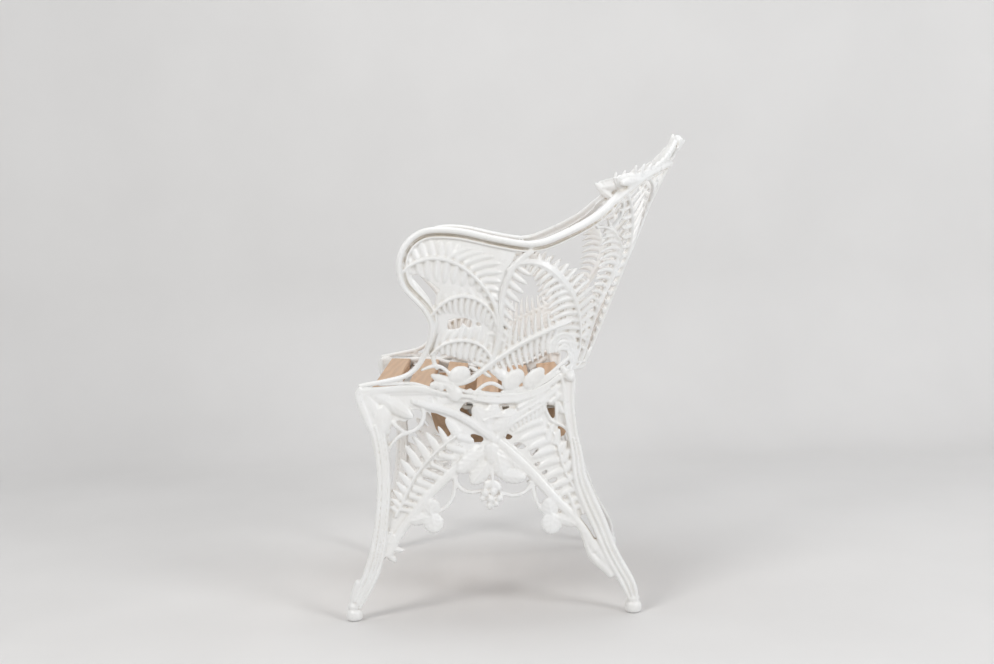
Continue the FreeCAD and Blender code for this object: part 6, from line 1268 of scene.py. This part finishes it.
def steel_finish():
    m, t, sh, co = tree("hardware_zinc_steel")
    spot = noise(t, co, 240.0, 5.0, 0.65)
    fine = noise(t, co, 2600.0, 2.0, 0.5, stretch=(1.0, 1.0, 0.15))
    col = blendc(t, fit(t, spot, 0.35, 0.65, 0.0, 1.0), (0.50, 0.50, 0.48), (0.66, 0.66, 0.65))
    rust = fit(t, noise(t, co, 420.0, 4.0, 0.7, offset=(4.0, 4.0, 8.0)), 0.62, 0.74, 0.0, 0.30, True)
    t.links.new(blendc(t, rust, col, (0.30, 0.19, 0.12)), sh.inputs["Base Color"])
    t.links.new(fit(t, spot, 0.3, 0.7, 0.30, 0.52), sh.inputs["Roughness"])
    t.links.new(bump(t, fine, 0.00006, 0.6), sh.inputs["Normal"])
    sh.inputs["Metallic"].default_value = 1.0
    return m


ENAMEL, WOOD, STEEL = enamel_finish(), wood_finish(), steel_finish()


def dress(ob, mat):
    ob.data.materials.clear()
    ob.data.materials.append(mat)


# ------------------------------------------------------------------ making the castings
leg = leg_frame_stock()
ledge(leg)
tube(leg, np.array([(248.0, 79.0, 420.0), (255.2, 79.0, 420.0)]), 8.6, 8.6, None, up=(0, 1, 0), m=20)
leg_left = cast("leg_casting_left", leg, 1.45, keep=165000)
leg_right = mirror_copy(leg_left, "leg_casting_right")

arm = arm_stock()
arm_feet(arm, [(-215.0, GAPS[-215.0]), (-95.0, GAPS[-95.0])], lambda y: 424.0 if y < -150 else 399.5)
arm_left = cast("arm_casting_left", arm, 1.25, keep=120000)
arm_right = mirror_copy(arm_left, "arm_casting_right")

back = back_half_stock()
arm_feet(back, [(25.0, GAPS[25.0])], lambda y: 407.0)
back_left = cast("back_casting_left_half", back, 1.5, keep=180000)
back_right = mirror_copy(back_left, "back_casting_right_half")
crest = cast("back_casting_crest", crest_stock(), 1.1, keep=40000)

for ob, node in ((leg_left, "leg_frame_left"), (leg_right, "leg_frame_right"), (arm_left, "arm_panel_left"), (arm_right, "arm_panel_right"), (back_left, "back_panel"), (back_right, "back_panel"), (crest, "back_panel")):
    dress(ob, ENAMEL)
    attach(ob, "root")
    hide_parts(node)

for name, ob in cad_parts.items():
    if name.startswith(("seat_slat", "seat_cleat")):
        dress(ob, WOOD)
    elif not name.startswith(("leg_frame", "arm_panel", "back_panel")):
        dress(ob, STEEL)


# ------------------------------------------------------------------ stage
def stage():
    me = bpy.data.meshes.new("floor")
    # a floor that sweeps up into a wall behind the chair
    prof = [(4.5, 0.0), (-1.25, 0.0)]
    for k in range(1, 13):
        a = math.radians(90 * k / 12)
        prof.append((-1.25 - 0.5 * math.sin(a), 0.5 - 0.5 * math.cos(a)))
    prof.append((-1.75, 4.2))
    V = [(x, y, z - 0.0002) for (x, z) in prof for y in (-6.0, 6.0)]
    F = [(2 * i, 2 * i + 1, 2 * i + 3, 2 * i + 2) for i in range(len(prof) - 1)]
    me.from_pydata(V, [], F)
    for p in me.polygons:
        p.use_smooth = True
    ob = bpy.data.objects.new("floor", me)
    bpy.context.scene.collection.objects.link(ob)
    m, t, sh, co = tree("floor_plain")
    n = noise(t, co, 3.0, 4.0)
    t.links.new(blendc(t, fit(t, n, 0.3, 0.7, 0.0, 1.0), (0.69, 0.683, 0.674), (0.72, 0.713, 0.704)), sh.inputs["Base Color"])
    t.links.new(fit(t, n, 0.3, 0.7, 0.62, 0.72), sh.inputs["Roughness"])
    me.materials.append(m)


def area(name, at, to, size, power, colour=(1, 1, 1)):
    li = bpy.data.lights.new(name, "AREA")
    li.shape = "RECTANGLE"
    li.size, li.size_y = size
    li.energy = power
    li.color = colour
    ob = bpy.data.objects.new(name, li)
    ob.location = at
    d = Vector(to) - Vector(at)
    ob.rotation_euler = d.to_track_quat("-Z", "Y").to_euler()
    bpy.context.scene.collection.objects.link(ob)


stage()
area("key", (2.0, -1.7, 2.2), (0.0, 0.0, 0.45), (1.0, 1.0), 37.0, (1.0, 0.985, 0.96))
area("fill", (2.2, 2.2, 1.6), (0.0, 0.10, 0.5), (1.0, 1.0), 42.0, (0.985, 0.99, 1.0))
area("low", (2.5, -0.5, 0.45), (0.0, 0.0, 0.35), (1.2, 0.6), 1.6, (1.0, 0.985, 0.965))
area("overhead", (-0.1, 0.0, 2.6), (0.0, 0.0, 0.3), (1.4, 1.4), 20.0)
area("wall_left", (-0.5, -2.8, 1.6), (-1.5, -0.6, 0.9), (1.6, 1.6), 10.5)
area("wall_right", (-0.5, 2.8, 1.6), (-1.5, 0.6, 0.9), (1.6, 1.6), 16.0)
world = bpy.data.worlds.new("studio")
world.use_nodes = True
world.node_tree.nodes["Background"].inputs[0].default_value = (0.93, 0.95, 1.0, 1.0)
world.node_tree.nodes["Background"].inputs[1].default_value = 0.26
bpy.context.scene.world = world
bpy.context.scene.view_settings.view_transform = "Standard"

# ------------------------------------------------------------------ camera
LOOK = math.radians(4.857)
AHEAD = np.array([-math.cos(YAW) * math.cos(LOOK), math.sin(YAW) * math.cos(LOOK), -math.sin(LOOK)])
UP = np.cross(RIGHT, AHEAD)
c, s = math.cos(ROLL), math.sin(ROLL)
cam_x, cam_y = RIGHT * c - UP * s, RIGHT * s + UP * c
cam = bpy.data.cameras.new("camera")
cam.sensor_width = 36.0
cam.lens = FOCAL / 994.0 * 36.0
cam.clip_start, cam.clip_end = 0.05, 30.0
co = bpy.data.objects.new("camera", cam)
e = (EYE - np.array([0.0, 0.0, 20.0])) * 0.001
co.matrix_world = Matrix([[cam_x[0], cam_y[0], -AHEAD[0], e[0]], [cam_x[1], cam_y[1], -AHEAD[1], e[1]], [cam_x[2], cam_y[2], -AHEAD[2], e[2]], [0, 0, 0, 1]])
bpy.context.scene.collection.objects.link(co)
bpy.context.scene.camera = co

bpy.context.view_layer.update()
